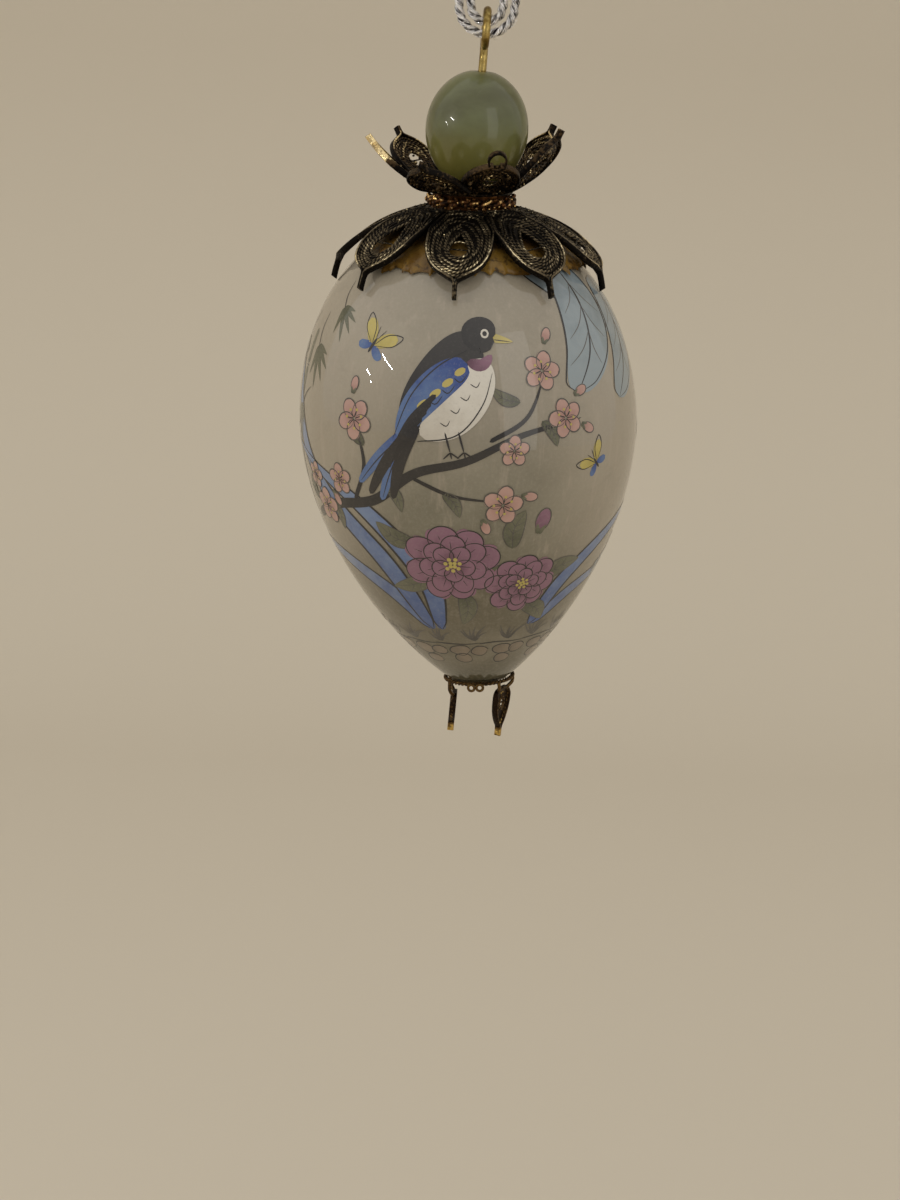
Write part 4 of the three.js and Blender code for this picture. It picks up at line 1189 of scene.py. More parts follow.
def filletSheets(settings):
    # adhesive in the collar: a barrel whose radius swells and wanders with the azimuth
    rng = np.random.default_rng(settings["seed"])
    around = fullTurn(settings["around"])[None, :]
    level = np.linspace(0, 1, settings["down"])[:, None]
    sizes, phases = rng.uniform(0.03, 0.1, 8), rng.uniform(0, 6, 8)
    wander = sum(a * np.sin(k * around + p) for k, a, p in zip(range(5, 29, 3), sizes, phases))
    radius = settings["radius"] - settings["waist"] * np.sin(np.pi * level) ** 0.5 + wander * 0.8
    radius = radius + settings["flare"] * (1 - level) ** 3
    low = eggShape["shoulderCentre"] + np.sqrt(crownShape["hubTop"] ** 2 - radius ** 2) - 0.1
    height = low + (crownShape["cupBase"] + 0.05 - low) * level
    innerHeight = height.min() + (height.max() - height.min()) * level
    inner = aboutZ(settings["bore"], around, innerHeight)
    closed = np.concatenate([aboutZ(radius, around, height), inner[::-1]])
    # lower where the barrel is drawn in, so its hollows are painted browner as shade
    wearShadeAndTone = np.clip(0.45 + 2.5 * wander, 0, 1)
    return [sheetOf(closed, closeRows=True, closeColumns=True, wearShadeAndTone=wearShadeAndTone, flip=True)]


makePiece("ropeCollar", collarSheets(collarSettings), fromCrown, collarMetal, "ornament", "red_brass",
          "rope_collar")
makePiece("collarAdhesive", filletSheets(filletSettings), fromCrown, amberAdhesive, "ornament",
          "amber_adhesive", "collar_adhesive")

# Aged adhesive between the cap and the glass, with an edge that wanders between the petals
bedSettings = {
    "spread": 43.4, "seed": 7, "inside": 21.78, "thickness": 0.6, "runs": 110, "lumps": 160,
    "around": 640, "down": 56, "hole": 0.06, "shortest": -2.4, "longest": 3.0,
}


def bedSheets(settings):
    # a skin on the shoulder's sphere: small runs, each a narrow bell over the azimuth, lengthen its
    # edge, and lumps, each a bell over the surface, thicken it
    rng = np.random.default_rng(settings["seed"])
    around = fullTurn(settings["around"])[None, :]
    away = lambda place: (around - place + np.pi) % (2 * np.pi) - np.pi
    waves = zip((3, 5, 8, 13), (0.4, 0.5, 0.8, 0.5))
    edge = sum(size * np.sin(k * around + rng.uniform(0, 6)) for k, size in waves)
    drawn = [rng.uniform(*span, settings["runs"]) for span in ((0, 2 * np.pi), (0.012, 0.035), (-1.2, 2.4))]
    for place, width, reach in zip(*drawn):
        edge = edge + reach * np.exp(-(away(place) / width) ** 2)
    spread = np.radians(settings["spread"] + np.clip(0.8 * edge, settings["shortest"], settings["longest"]))
    level = np.linspace(0, 1, settings["down"])[:, None]
    angle = settings["hole"] + (spread - settings["hole"]) * level
    lumps = 0 * angle
    drawn = [rng.uniform(*span, settings["lumps"]) for span in ((0, 2 * np.pi), (0.45, 1.0), (-0.5, 1.0))]
    for place, low, size in zip(*drawn):
        apart = away(place) * np.sin(angle)
        lumps = lumps + size * np.exp(-((apart / 0.022) ** 2 + ((angle - 0.74 * low) / 0.03) ** 2))
    rounded = np.sqrt(np.maximum(1 - np.clip((level - 0.88) / 0.12, 0, 1) ** 2, 0))
    outer = settings["inside"] + (settings["thickness"] - 0.16 + 0.2 * np.clip(lumps, -1, 1)) * rounded
    radius = np.concatenate([outer, settings["inside"] + 0 * outer[::8]])
    angle = np.concatenate([angle, angle[::-8]])
    # low up under the petals, so the skin is painted browner there as shade, with a fine ripple round it
    wearShadeAndTone = np.clip((angle - 0.45) / 0.22, 0, 1) + 0.2 * np.sin(23 * around) * np.sin(9 * around + 1)
    points = aboutZ(radius * np.sin(angle), around, eggShape["shoulderCentre"] + radius * np.cos(angle))
    return [sheetOf(points, closeRows=True, closeColumns=True, wearShadeAndTone=np.clip(wearShadeAndTone, 0, 1))]


makePiece("adhesiveBed", bedSheets(bedSettings), fromCrown, ochreAdhesive, "ornament", "amber_adhesive",
          "adhesive_bed")
print("crown done")

# Glass egg: milky inside, clear gloss outside
glassSettings = {"inset": 0.13, "around": 176, "down": 120, "innerTop": 25.1}
wallGloss = {"Roughness": 0.55, "Coat Weight": 1.0, "Coat Roughness": 0.015, "Specular IOR Level": 0.2}


def eggSheets(settings):
    # outer wall down, the foot's lip, the inner wall up and the mouth's lip, turned once round
    s, inset = eggShape, settings["inset"]
    share = (1 - np.cos(np.linspace(0, np.pi, settings["down"]))) / 2
    outerHeight = s["top"] - inset + (s["foot"] - s["top"] + inset) * share
    innerHeight = s["foot"] + (settings["innerTop"] - s["foot"]) * share[::2]
    inner = np.maximum(eggRadius(innerHeight, s["wall"]), s["mouth"])
    radius = np.concatenate([eggRadius(outerHeight, inset), inner])
    return [revolvedSheet(radius, np.concatenate([outerHeight, innerHeight]), settings["around"], 0.0)]


def milkyGlassMaterial():
    # warm grey-white wash inside clear glass: greener and darker to the foot, partly the painted ground there and
    # partly painted shade;
    # paler toward its left and right edges except low down, a painted sheen; with soft cloudy washes, upright brush
    # streaks and a fine grain under a smooth coat
    material, nodes, shader = newMaterial("milkyGlass")
    place = nodes.objectPlace()
    x, _, height = nodes.axes(place)
    cloud = nodes.noise(place, 55, 4, 0.55, 0.5)
    brushed = nodes.noise(place, 240, 4, 0.65, 0.8)
    grain = nodes.noise(place, 2600, 2, 0.6)
    upright = nodes.add("ShaderNodeMapping")
    nodes.dress(upright, {"Vector": place, "Scale": (1.0, 1.0, 0.08)})
    strokes = nodes.noise(upright.outputs["Vector"], 900, 3, 0.6)
    # painted sheen: paler toward the left and right edges as seen from the front, except low down
    side = nodes.ramp(nodes.maths("ABSOLUTE", x), 0.006, 0.019)
    paintedSideSheen = nodes.maths("MULTIPLY", side, nodes.ramp(height, -0.1, -0.078))
    fade = nodes.ramp(height, -0.1, -0.085)
    # each layer is its share and its colour, over the colour of the foot; the three height layers darken it toward the
    # foot, partly as painted ground and partly as painted shade, and the fourth is a painted sheen at the sides
    colour = linear(74, 71, 53)
    for share, layer in (
        (nodes.ramp(height, -0.106, -0.098), linear(98, 91, 72)),
        (nodes.ramp(height, -0.093, -0.076), linear(112, 107, 90)),
        (nodes.ramp(height, -0.08, -0.062), linear(144, 135, 118)),
        (nodes.maths("MULTIPLY", paintedSideSheen, 0.8), linear(163, 152, 134)),
        (nodes.ramp(cloud, 0.48, 0.72, 0.0, 0.25), linear(166, 158, 140)),
        (nodes.ramp(brushed, 0.5, 0.8, 0.0, 0.2), linear(108, 101, 86)),
        (nodes.maths("MULTIPLY", nodes.ramp(strokes, 0.52, 0.76, 0.0, 0.34), fade), linear(172, 158, 142)),
        (nodes.ramp(grain, 0.4, 0.8, 0.0, 0.1), linear(186, 178, 164)),
    ):
        colour = nodes.mixed(share, colour, layer)
    nodes.dress(shader, {"Base Color": colour, **wallGloss})
    return material


milkyGlass = milkyGlassMaterial()
makePiece("glassEgg", eggSheets(glassSettings), fromEgg, milkyGlass, "ornament", "milky_glass", "glass_egg")
print("egg done")

# Painting: strokes of pigment laid on the wall, each a ribbon that follows the egg's surface
paintSettings = {
    "lift": 0.012, "layer": 0.006, "cell": 0.5, "rowsPerCell": 1.6, "rows": (9, 120), "leastRadius": 6,
    "tableSteps": 800,
}
pigmentColours = {
    "ink": (linear(24, 20, 19), linear(40, 36, 34)),
    "greyInk": (linear(64, 60, 54), linear(88, 83, 76)),
    "blue": (linear(30, 58, 124), linear(82, 106, 148)),
    "dusk": (linear(62, 84, 134), linear(112, 130, 162)),
    "paleBlue": (linear(112, 124, 130), linear(140, 150, 154)),
    "plum": (linear(88, 52, 70), linear(132, 94, 112)),
    "pink": (linear(156, 116, 106), linear(178, 142, 130)),
    "white": (linear(186, 178, 164), linear(206, 200, 188)),
    "yellow": (linear(160, 144, 70), linear(182, 166, 92)),
    "leaf": (linear(72, 73, 54), linear(100, 99, 78)),
    "stone": (linear(104, 92, 76), linear(122, 108, 90)),
}
pigments = {name: [] for name in pigmentColours}
# the meridian's length from the foot up to each height of a table
wallTable = np.linspace(eggShape["foot"], eggShape["top"], paintSettings["tableSteps"])
wallStep = np.diff(wallTable)
wallSlope = np.gradient(eggRadius(wallTable, glassSettings["inset"]), wallTable)
wallLength = np.concatenate([[0], np.cumsum(np.hypot(wallStep, wallStep * wallSlope[1:]))])


def onWall(flat, anchor, layer):
    # flat (x, y) in millimetres round an anchor (azimuth, height): y runs along the meridian's
    # length and x along the parallel, then the point stands a little off the wall by its layer
    azimuth, height = anchor
    start = np.interp(height, wallTable, wallLength)
    level = np.interp(start + flat[..., 1], wallLength, wallTable)
    girth = np.maximum(eggRadius(np.asarray(height, float)), paintSettings["leastRadius"])
    radius = eggRadius(level, glassSettings["inset"]) + paintSettings["lift"] + paintSettings["layer"] * layer
    return aboutZ(radius, math.radians(azimuth) + flat[..., 0] / girth, level)


class Brush:
    # strokes that share an anchor, a layer, a turn in degrees, a scale and a mirroring

    def __init__(self, anchor, layer, turn=0.0, scale=1.0, flip=1):
        self.anchor, self.layer, self.turn, self.scale, self.flip = anchor, layer, turn, scale, flip

    def fill(self, pigment, points, width, up, tapers, own=0.0, tone=None):
        # a curve through flat points with a width of W t^p (1 - t)^q, scaled so its greatest is W;
        # tone runs from tail to tip unless it is given
        cell, (p, q) = paintSettings["cell"], tapers
        fewest, most = paintSettings["rows"]
        points = np.array(points, float) * (self.flip, 1) * self.scale
        angle = math.radians(self.turn + own)
        points = points @ np.array([[math.cos(angle), math.sin(angle)], [-math.sin(angle), math.cos(angle)]])
        length = np.linalg.norm(np.diff(points, axis=0), axis=1).sum()
        rows = int(max(fewest, min(most, length / cell * paintSettings["rowsPerCell"])))
        columns = int(max(3, math.ceil(width * self.scale / cell) + 1))
        path = throughPoints(points, rows) if len(points) > 2 else evened(points, rows)
        t = np.linspace(0, 1, rows)
        share = t ** p * (1 - t) ** q / ((p / (p + q)) ** p * (q / (p + q)) ** q)
        across = np.linspace(-0.5, 0.5, columns)[None, :, None]
        flat = path[:, None] + across * (width * self.scale * share)[:, None, None] * leftOf(path)[:, None]
        wearShadeAndTone = np.broadcast_to(t[:, None] if tone is None else tone, (rows, columns))
        pigments[pigment].append(sheetOf(onWall(flat, self.anchor, self.layer + up), wearShadeAndTone=wearShadeAndTone, flip=True))

    def line(self, points, up, width, pigment="ink", own=0.0):
        # a thin drawn line, pointed at both ends, whose width isn't scaled
        self.fill(pigment, points, width / self.scale, up, (0.3, 0.5), own)

    def dot(self, pigment, x, y, size, up, own=0.0):
        # a round dot: a stroke as long as it is wide, with both tapers a half
        self.fill(pigment, [(x - size / 2, y), (x + size / 2, y)], size, up, (0.5, 0.5), own, 0.5)


def leftOf(path):
    # the flat unit direction to the left of a path at each of its points
    heading = unit(np.gradient(path, axis=0))
    return pointsOf(-heading[:, 1], heading[:, 0])


def petalLoop(reach, width):
    # an ellipse's outline from the root round the tip, for a petal that points along x
    angle = np.linspace(-np.pi * 0.92, np.pi * 0.92, 13)
    return pointsOf(reach * (0.5 + 0.5 * np.cos(angle)), width / 2 * np.sin(angle))


def blossom(anchor, size, turn, layer=4):
    # five round petals about the middle, each outlined, with stamens and yellow anthers
    brush = Brush(anchor, layer, turn, size)
    for i in range(5):
        brush.fill("pink", [(0.08, 0), (0.55, 0.03), (1.0, 0)], 0.78, i % 2, (0.55, 0.4), 72 * i)
        brush.line(petalLoop(1.0, 0.8) + (0.03, 0), 2, 0.16, "greyInk", 72 * i)
    for i in range(7):
        own = 17 + 360 * i / 7
        brush.line([(0.05, 0), (0.42, 0.02)], 3, 0.12, own=own)
        brush.dot("yellow", 0.46, 0, 0.14, 4, own)


def bud(anchor, size, turn, layer, pigment="pink"):
    # one closed petal, outlined, between two sepals
    brush = Brush(anchor, layer, turn, size)
    brush.fill(pigment, [(0, 0), (0.5, 0.02), (1.0, 0)], 0.62, 0, (0.5, 0.6))
    brush.line(petalLoop(1.0, 0.62), 1, 0.15, "greyInk")
    for side in (1, -1):
        brush.fill("leaf", [(-0.15, 0.02 * side), (0.3, 0.2 * side)], 0.2, 2, (0.3, 0.8))


def leaf(anchor, length, width, turn, layer):
    # a pointed leaf with its midrib and side veins; its middle line rises as 4 b t (1 - t)
    brush, bend = Brush(anchor, layer, turn, length), 0.12
    arch = lambda t: 4 * bend * t * (1 - t)
    brush.fill("leaf", [(0, 0), (0.5, bend), (1, 0)], width / length, 0, (0.6, 0.8))
    brush.line([(0, 0), (0.5, bend), (0.97, 0)], 1, 0.14, "greyInk")
    edge = np.linspace(0.02, 1, 9)
    hump = (edge / 0.43) ** 0.6 * ((1 - edge) / 0.57) ** 0.8
    for half in (-width / length / 2, width / length / 2):
        brush.line(pointsOf(edge, arch(edge) + half * hump), 1, 0.15, "greyInk")
        for k in range(3):
            at = 0.2 + 0.55 * k / 3
            brush.line([(at, arch(at)), (at + 0.16, arch(at + 0.16) + half * 0.75)], 1, 0.1, "greyInk")


def peony(anchor, size, turn, layer=4):
    # three rings of broad petals, each ring smaller and above the last, round a yellow heart
    brush = Brush(anchor, layer, turn, size)
    rings = ((8, 0.32, 1.0, 0.62), (7, 0.18, 0.74, 0.5), (5, 0.06, 0.48, 0.42))
    for ring, (count, inner, outer, width) in enumerate(rings):
        for i in range(count):
            own = 360 * i / count + 21 * ring
            reach = outer * (1 + 0.07 * math.sin(5 * i + ring))
            middle = [(inner, 0), (0.55 * reach + 0.1, 0.02), (reach, 0)]
            brush.fill("plum", middle, width, 2 * ring, (0.5, 0.32), own)
            brush.line(petalLoop(reach - inner, width * 0.98) + (inner, 0), 2 * ring + 1, 0.15, own=own)
            brush.line([(inner + 0.1, 0), (reach * 0.82, 0.03)], 2 * ring + 1, 0.1, own=own + 3)
    for count, radius, start in ((7, 0.15, 0), (4, 0.06, 30)):
        for angle in math.radians(start) + fullTurn(count):
            brush.dot("yellow", radius * math.cos(angle), radius * math.sin(angle), 0.09, 7)


def twig(anchor, points, width, layer):
    Brush(anchor, layer).fill("ink", points, width, 0, (0.12, 0.55))


def bamboo(anchor, joints, length, width, turn):
    # a stem in joints with a dark mark between each two
    brush = Brush(anchor, 1, turn)
    for k in range(joints):
        low = k * length
        stem = [(low + 0.15, 0), (low + length / 2, 0.03), (low + length - 0.15, 0)]
        brush.fill("leaf", stem, width, 0, (0.05, 0.05))
        brush.line([(low - 0.02, -width * 0.6), (low, 0), (low - 0.02, width * 0.6)], 1, 0.18, "greyInk")


def bambooLeaves(anchor, size, turn):
    # a spray of slender leaves that hang from one point
    brush = Brush(anchor, 3, turn, size)
    for own, reach in zip((-38, -14, 9, 31, 52), (0.75, 1.0, 0.92, 0.8, 0.55)):
        brush.fill("leaf", [(0, 0), (0.5 * reach, 0.02), (reach, 0)], 0.15, 0, (0.35, 0.9), own)
    brush.line([(0.1, 0), (-0.4, 0.06), (-0.8, 0.26)], 0, 0.2, "greyInk")


def bird(anchor, size, flip, layer):
    # a perched bird: each feather group is a stroke; drawn 20 units long and scaled to size
    brush = Brush(anchor, layer, 0, size / 20, flip)
    for k, (x, y) in enumerate(((-10.6, -9.4), (-9.4, -10.6), (-8.0, -11.2), (-6.6, -11.0))):
        feather = [(-3.2, -2.6), ((x - 3.2) / 2 - 0.4, (y - 2.6) / 2), (x, y)]
        brush.fill("ink" if k % 2 else "blue", feather, 1.3, k % 2, (0.2, 0.3))
        brush.line([(-3.2, -2.8), ((x - 3.2) / 2 - 0.4, (y - 2.8) / 2), (x * 0.98, y * 0.98)], 2, 0.17)
    # back, breast, head, throat, beak and wing
    for pigment, points, width, up, tapers in (
        ("ink", [(-4.4, -3.2), (-1.6, 0.8), (1.4, 4.2), (3.6, 5.6)], 5.8, 0, (0.4, 0.32)),
        ("white", [(-3.0, -3.9), (0.6, -2.0), (3.0, 1.0), (4.0, 3.9)], 4.4, 1, (0.5, 0.45)),
        ("ink", [(1.9, 5.6), (3.6, 6.4), (5.6, 5.8)], 4.0, 2, (0.5, 0.42)),
        ("plum", [(2.2, 3.6), (3.8, 3.2), (5.0, 4.2)], 1.3, 3, (0.5, 0.6)),
        ("yellow", [(5.3, 6.0), (7.6, 5.4)], 0.95, 3, (0.1, 0.7)),
        ("blue", [(2.2, 3.4), (-0.8, 1.6), (-3.4, -1.0), (-5.4, -4.2)], 3.7, 3, (0.35, 0.55)),
    ):
        brush.fill(pigment, points, width, up, tapers)
    brush.dot("white", 4.4, 6.5, 1.0, 4)
    brush.dot("ink", 4.4, 6.5, 0.55, 5)
    brush.line([(5.3, 5.8), (7.4, 5.4)], 4, 0.13)
    for k in range(4):
        x, y = -0.9 + 1.1 * k, -2.6 + 1.3 * k
        brush.line([(x, y), (x + 0.7, y - 0.4), (x + 1.1, y + 0.2)], 3, 0.13)
        x = 1.4 - 1.35 * k
        spot = [(x - 0.6, 2.3 - 1.15 * k), (x + 0.6, 2.9 - 1.05 * k)]
        brush.fill("yellow", spot, 0.75, 4, (0.5, 0.5), tone=0.5)
        brush.line([(x - 0.7, 2.0 - 1.15 * k), (x, 1.5 - 1.1 * k), (x + 0.8, 2.3 - 1.05 * k)], 5, 0.14)
    for k in range(5):
        x, y = -1.2 - 0.5 * k, 0.3 - 0.8 * k
        brush.fill("ink", [(x, y), (x - 2.6, y - 2.3), (x - 4.3 + 0.25 * k, y - 4.6)], 0.62, 5, (0.15, 0.5))
    brush.line([(2.4, 4.9), (-0.9, 3.3), (-3.8, 0.4), (-6.0, -4.4)], 5, 0.17)
    brush.line([(-3.4, -4.6), (0.8, -4.0), (3.6, -1.0), (4.9, 2.4)], 5, 0.17)
    for x in (-0.4, 1.0):
        brush.line([(x, -3.6), (x + 0.3, -5.0), (x + 0.5, -5.9)], 2, 0.24)
        for toe in (-0.8, 0.1, 0.9):
            brush.line([(x + 0.5, -5.8), (x + 0.5 + toe, -6.5)], 3, 0.2)


def butterfly(anchor, size, turn):
    brush = Brush(anchor, 3, turn, size)
    for s in (-1, 1):
        brush.fill("yellow", [(0, s * 0.05), (0.5, s * 0.5), (0.8, s * 0.95)], 0.6, 0, (0.5, 0.35))
        brush.fill("blue", [(0, s * 0.05), (-0.25, s * 0.45), (-0.3, s * 0.75)], 0.4, 0, (0.5, 0.4))
        edge = [(0, s * 0.05), (0.75, s * 0.45), (1.0, s * 1.1), (0.45, s * 0.9), (0, s * 0.1)]
        brush.line(edge, 1, 0.14)
        brush.line([(0.3, s * 0.05), (0.85, s * 0.2)], 1, 0.1)
    brush.fill("ink", [(-0.4, 0), (0.35, 0)], 0.14, 2, (0.4, 0.4))


def bladeLeaf(anchor, points, width, layer):
    # a long arching blade with dark edges, pointed at both ends
    brush = Brush(anchor, layer)
    brush.fill("dusk", points, width, 0, (0.35, 0.75))
    path, t = throughPoints(points, 25), np.linspace(0, 1, 25)
    half = width / 2 * (t / 0.32) ** 0.35 * ((1 - t) / 0.68) ** 0.75
    for side in (-1, 1):
        brush.line(path + side * half[:, None] * leftOf(path), 1, 0.26)


def broadLeaf(anchor, length, width, turn, layer):
    # a big pale leaf that hangs from the shoulder, with dark edges and a few side veins
    brush, rib = Brush(anchor, layer, turn, length), [(0, 0), (0.35, 0.07), (0.7, 0.06), (1, -0.04)]
    brush.fill("paleBlue", rib, width / length, 0, (0.28, 0.42))
    brush.line(rib, 1, 0.24)
    middle, t = throughPoints(rib, 17)[:, 1], np.linspace(0, 1, 17)
    half = width / length / 2 * (t / 0.4) ** 0.28 * ((1 - t) / 0.6) ** 0.42
    for side in (-1, 1):
        brush.line(pointsOf(t, middle + side * half), 1, 0.22)
        for k in (3, 6, 9):
            end = (t[k + 4], middle[k + 4] + side * half[k + 4] * 0.85)
            between = ((t[k] + end[0]) / 2 + 0.01, (middle[k] + end[1]) / 2 - side * 0.015)
            brush.line([(t[k], middle[k]), between, end], 1, 0.12, "greyInk")


def rock(anchor, size):
    # a garden rock: overlapping humps of wash with drawn edges and short hatching
    brush, angle = Brush(anchor, 1, 0, size), np.linspace(-0.5, np.pi + 0.5, 9)
    humps = (0, 0, 1.1, 0.9), (0.55, 0.25, 0.8, 1.1), (-0.5, -0.1, 0.7, 0.6), (0.2, 0.7, 0.6, 0.7)
    for x, y, w, h in humps:
        brush.fill("paleBlue", [(x, y - h / 2), (x + 0.08, y), (x, y + h / 2)], w * 0.8, 0, (0.3, 0.4))
        hump = pointsOf(x + w * 0.4 * np.cos(angle), y + h * 0.5 * np.sin(angle))
        brush.line(hump, 1, 0.24)
        for k in range(3):
            brush.line([(x - 0.2 + 0.12 * k, y - 0.1), (x - 0.12 + 0.12 * k, y + 0.16)], 1, 0.13)


def grass(anchor, size, seed):
    # a tuft of seven thin blades
    rng, brush = np.random.default_rng(seed), Brush(anchor, 3, 0, size)
    for own in np.linspace(50, 130, 7) + rng.uniform(-8, 8, 7):
        reach = rng.uniform(0.6, 1.0)
        brush.fill("greyInk", [(0, 0), (0.5 * reach, 0.05), (reach, -0.06)], 0.1, 0, (0.2, 0.9), own)


def groundLine(height, seed):
    # one drawn line all round near the foot, in spans that rise and fall a little, and below it two
    # rings of rounded pebbles
    rng = np.random.default_rng(seed)
    span = math.radians(32) * float(eggRadius(np.asarray(float(height))))
    for azimuth in range(-180, 180, 30):
        brush = Brush((azimuth, height), 2)
        rise = rng.uniform(-0.2, 0.2, 4)
        ground = [(0, rise[0]), (span * 0.35, rise[1]), (span * 0.7, rise[2]), (span, rise[0] * 0.5)]
        brush.line(ground, 0, 0.24)
        for row, count, k in ((0, 2, 0), (0, 2, 1), (1, 1, 0)):
            x = span * (k + 0.6 * row + rng.uniform(-0.1, 0.1)) / count
            y = -1.5 - 2.1 * row + rng.uniform(-0.3, 0.3)
            wide, tall = span / (count + row) * rng.uniform(0.36, 0.5), rng.uniform(0.8, 1.15)
            brush.fill("stone", [(x - wide, y), (x + wide, y)], 1.8 * tall, -1, (0.35, 0.35))
            turn, swell = np.linspace(0.2, 6.6, 9), rng.uniform(0.9, 1.15, 9)
            edge = pointsOf(x + wide * swell * np.cos(turn), y + tall * swell * np.sin(turn))
            brush.line(edge, 0, 0.18)


def scatter(draw, rows, *more):
    # one motif at the azimuth and height that start each row, made with the rest of the row
    for azimuth, height, *rest in rows:
        draw((azimuth, height), *rest, *more)


# front: a bird on a flowering branch, peonies below, long blue blades at both sides and broad pale
# leaves from the right shoulder
scatter(bladeLeaf, (
    (-26, -25.5, [(0, 0), (-4, 7), (-11, 12), (-19, 12)], 2.3, 0),
    (-26, -25.5, [(0, 0), (-3, 12), (-10, 25), (-13, 38)], 2.3, 2),
    (-26, -25.5, [(1.2, 0), (1.2, 9), (-4, 20), (-13, 27)], 2.3, 4),
    (30, -25.5, [(0.4, 0), (5, 5), (11, 7), (17, 5)], 2.0, 0),
    (30, -25.5, [(0, 0), (3, 8), (9, 14), (17, 17)], 2.0, 2)))
scatter(twig, (
    (-74, -10.5, [(0, 0), (7, 2.6), (14, 4.0), (20, 7.9), (26, 9.3), (33, 12.2), (41, 13.4)], 1.4),
    (-44, -7.0, [(0, 0), (2.4, 5.0), (1.4, 10.5)], 0.6),
    (6, 1.0, [(0, 0), (5, 2.6), (8, 7.6)], 0.6),
    (-20, -3.4, [(0, 0), (5, -2.4), (11, -3.6)], 0.5)), 8)
bird((-7, 6.8), 24, 1, 10)
scatter(blossom, (
    (-62, -8.6, 2.5, 10), (-41, 3.8, 2.7, 50), (-50, -4.4, 2.1, 20), (10, -7.4, 2.6, 5),
    (26, 9.2, 2.5, 70), (33, 3.0, 2.5, 33), (-66, -4.6, 1.8, 0), (14, -0.4, 2.0, 12)), 10)
scatter(bud, (
    (-42, 7.2, 2.0, 80), (-55, -6.4, 2.0, -60), (17, -6.4, 2.0, -10), (29, 12.6, 2.0, 60),
    (38, 5.8, 2.0, 20), (40, 1.8, 2.0, -30), (3, -9.4, 2.0, -70)), 10)
scatter(leaf, (
    (-57, -7.4, 4.4, 1.6, -80), (-30, -4.2, 4.4, 1.6, -65), (-37, 0.5, 4.0, 1.6, 120),
    (17, 5.6, 4.2, 1.6, 150), (24, 3.0, 4.0, 1.6, -60), (-69, -8.2, 3.6, 1.6, 100),
    (-10, -5.4, 4.0, 1.6, -60)), 8)
scatter(broadLeaf, ((34, 22.0, 14, 5.6, -58, 0), (78, 19.0, 17, 6.0, -104, 2), (52, 21.5, 18, 6.6, -98, 4)))
scatter(leaf, (
    (-16, -16.0, 8.0, 2.6, -155), (2, -17.0, 7.0, 2.6, -15), (-6, -19.5, 6.0, 2.6, -95),
    (28, -19.0, 6.4, 2.6, 25), (14, -13.5, 5.6, 2.6, 75), (-22, -12.5, 6.0, 2.6, 150),
    (22, -22.0, 5.4, 2.6, -40)), 6)
scatter(peony, ((-9, -15.4, 6.2, 12), (20, -18.8, 4.8, 40)), 8)
bud((24, -11.4), 3.2, 75, 8, "plum")
rock((76, -19), 4.0)
scatter(butterfly, ((-36, 13.0, 3.0, 60), (46, -3.5, 2.4, 130)))
scatter(bamboo, ((-84, -16, 6, 5.2, 0.9, 84), (-92, -14, 5, 5.6, 0.7, 94)))
scatter(bambooLeaves, (
    (-68, 12.0, 5.6, -70), (-76, 4.0, 5.0, -120), (-86, 12.5, 5.2, -100), (-58, 17.0, 4.8, -60),
    (-98, 3.0, 5.0, -80)))
scatter(grass, [(azimuth, -27.4, 3.6, azimuth + 200) for azimuth in (-62, -44, -24, -2, 20, 38, 58)])
groundLine(-27.8, 9)

# back: bamboo, a second bird, a plum peony and more blossoms, so that no side is left bare
scatter(bamboo, ((150, -18, 7, 5.2, 0.8, 88), (168, -16, 6, 5.6, 0.65, 96), (118, -18, 4, 4.6, 0.55, 80)))
scatter(bambooLeaves, (
    (155, 10, 5.0, -50), (146, 3, 4.6, -130), (174, 8, 4.8, -70), (164, 14, 4.2, -110), (122, 2, 4.2, -60),
    (140, -6, 4.4, -40), (182, 0, 4.4, -120)))
twig((-168, 6), [(0, 0), (7, 1.6), (14, 0.4), (21, 3.6)], 0.8, 2)
bird((-138, 11.0), 14, -1, 6)
scatter(peony, ((-135, -8, 5.0, 5), (108, -9, 4.6, 25), (-166, -14, 3.6, 60)))
scatter(leaf, (
    (-126, -9, 5.4, 1.9, -20), (-142, -11, 5.0, 1.9, -160), (-133, -14, 4.8, 1.9, -100),
    (100, -12, 5.0, 1.9, -140), (116, -12, 5.0, 1.9, -40), (-160, -17, 4.2, 1.9, -30),
    (104, -4, 4.6, 1.9, 110)), 2)
scatter(blossom, (
    (-160, 8.6, 2.0, 0), (-146, 6.0, 1.9, 40), (-118, 10.0, 2.0, 15), (96, 6, 1.9, 0), (88, -2, 1.7, 30),
    (-108, -4, 1.7, 50)))
scatter(rock, ((-100, -18.5, 4.8), (140, -20, 4.2)))
scatter(butterfly, ((-100, 8, 2.3, 20), (128, 9, 2.2, 110)))
backTufts = (96, 124, 152, 180, -150, -122, -92, -74)
scatter(grass, [(azimuth, -26.2, 2.6, azimuth + 500) for azimuth in backTufts])


def pigmentMaterial(name, first, second):
    # a thin coat of pigment: its tone drifts from tail to tip of each stroke with brush streaks and
    # a fine grain, under the same clear gloss as the glass
    material, nodes, shader = newMaterial(name)
    place = nodes.objectPlace()
    cloud = nodes.noise(place, 420, 3, 0.6, 0.4)
    level = nodes.maths("MULTIPLY_ADD", nodes.attribute("wearShadeAndTone"), 0.6, nodes.maths("MULTIPLY", cloud, 0.7))
    colour = nodes.mixed(nodes.ramp(level, 0.25, 0.85), first, second)
    pale = 0.05 if name == "inkPigment" else 0.22
    grain = nodes.ramp(nodes.noise(place, 3000, 2, 0.6), 0.5, 0.8, 0.0, pale)
    nodes.dress(shader, {"Base Color": nodes.mixed(grain, colour, linear(150, 144, 134)), **wallGloss})
    return material


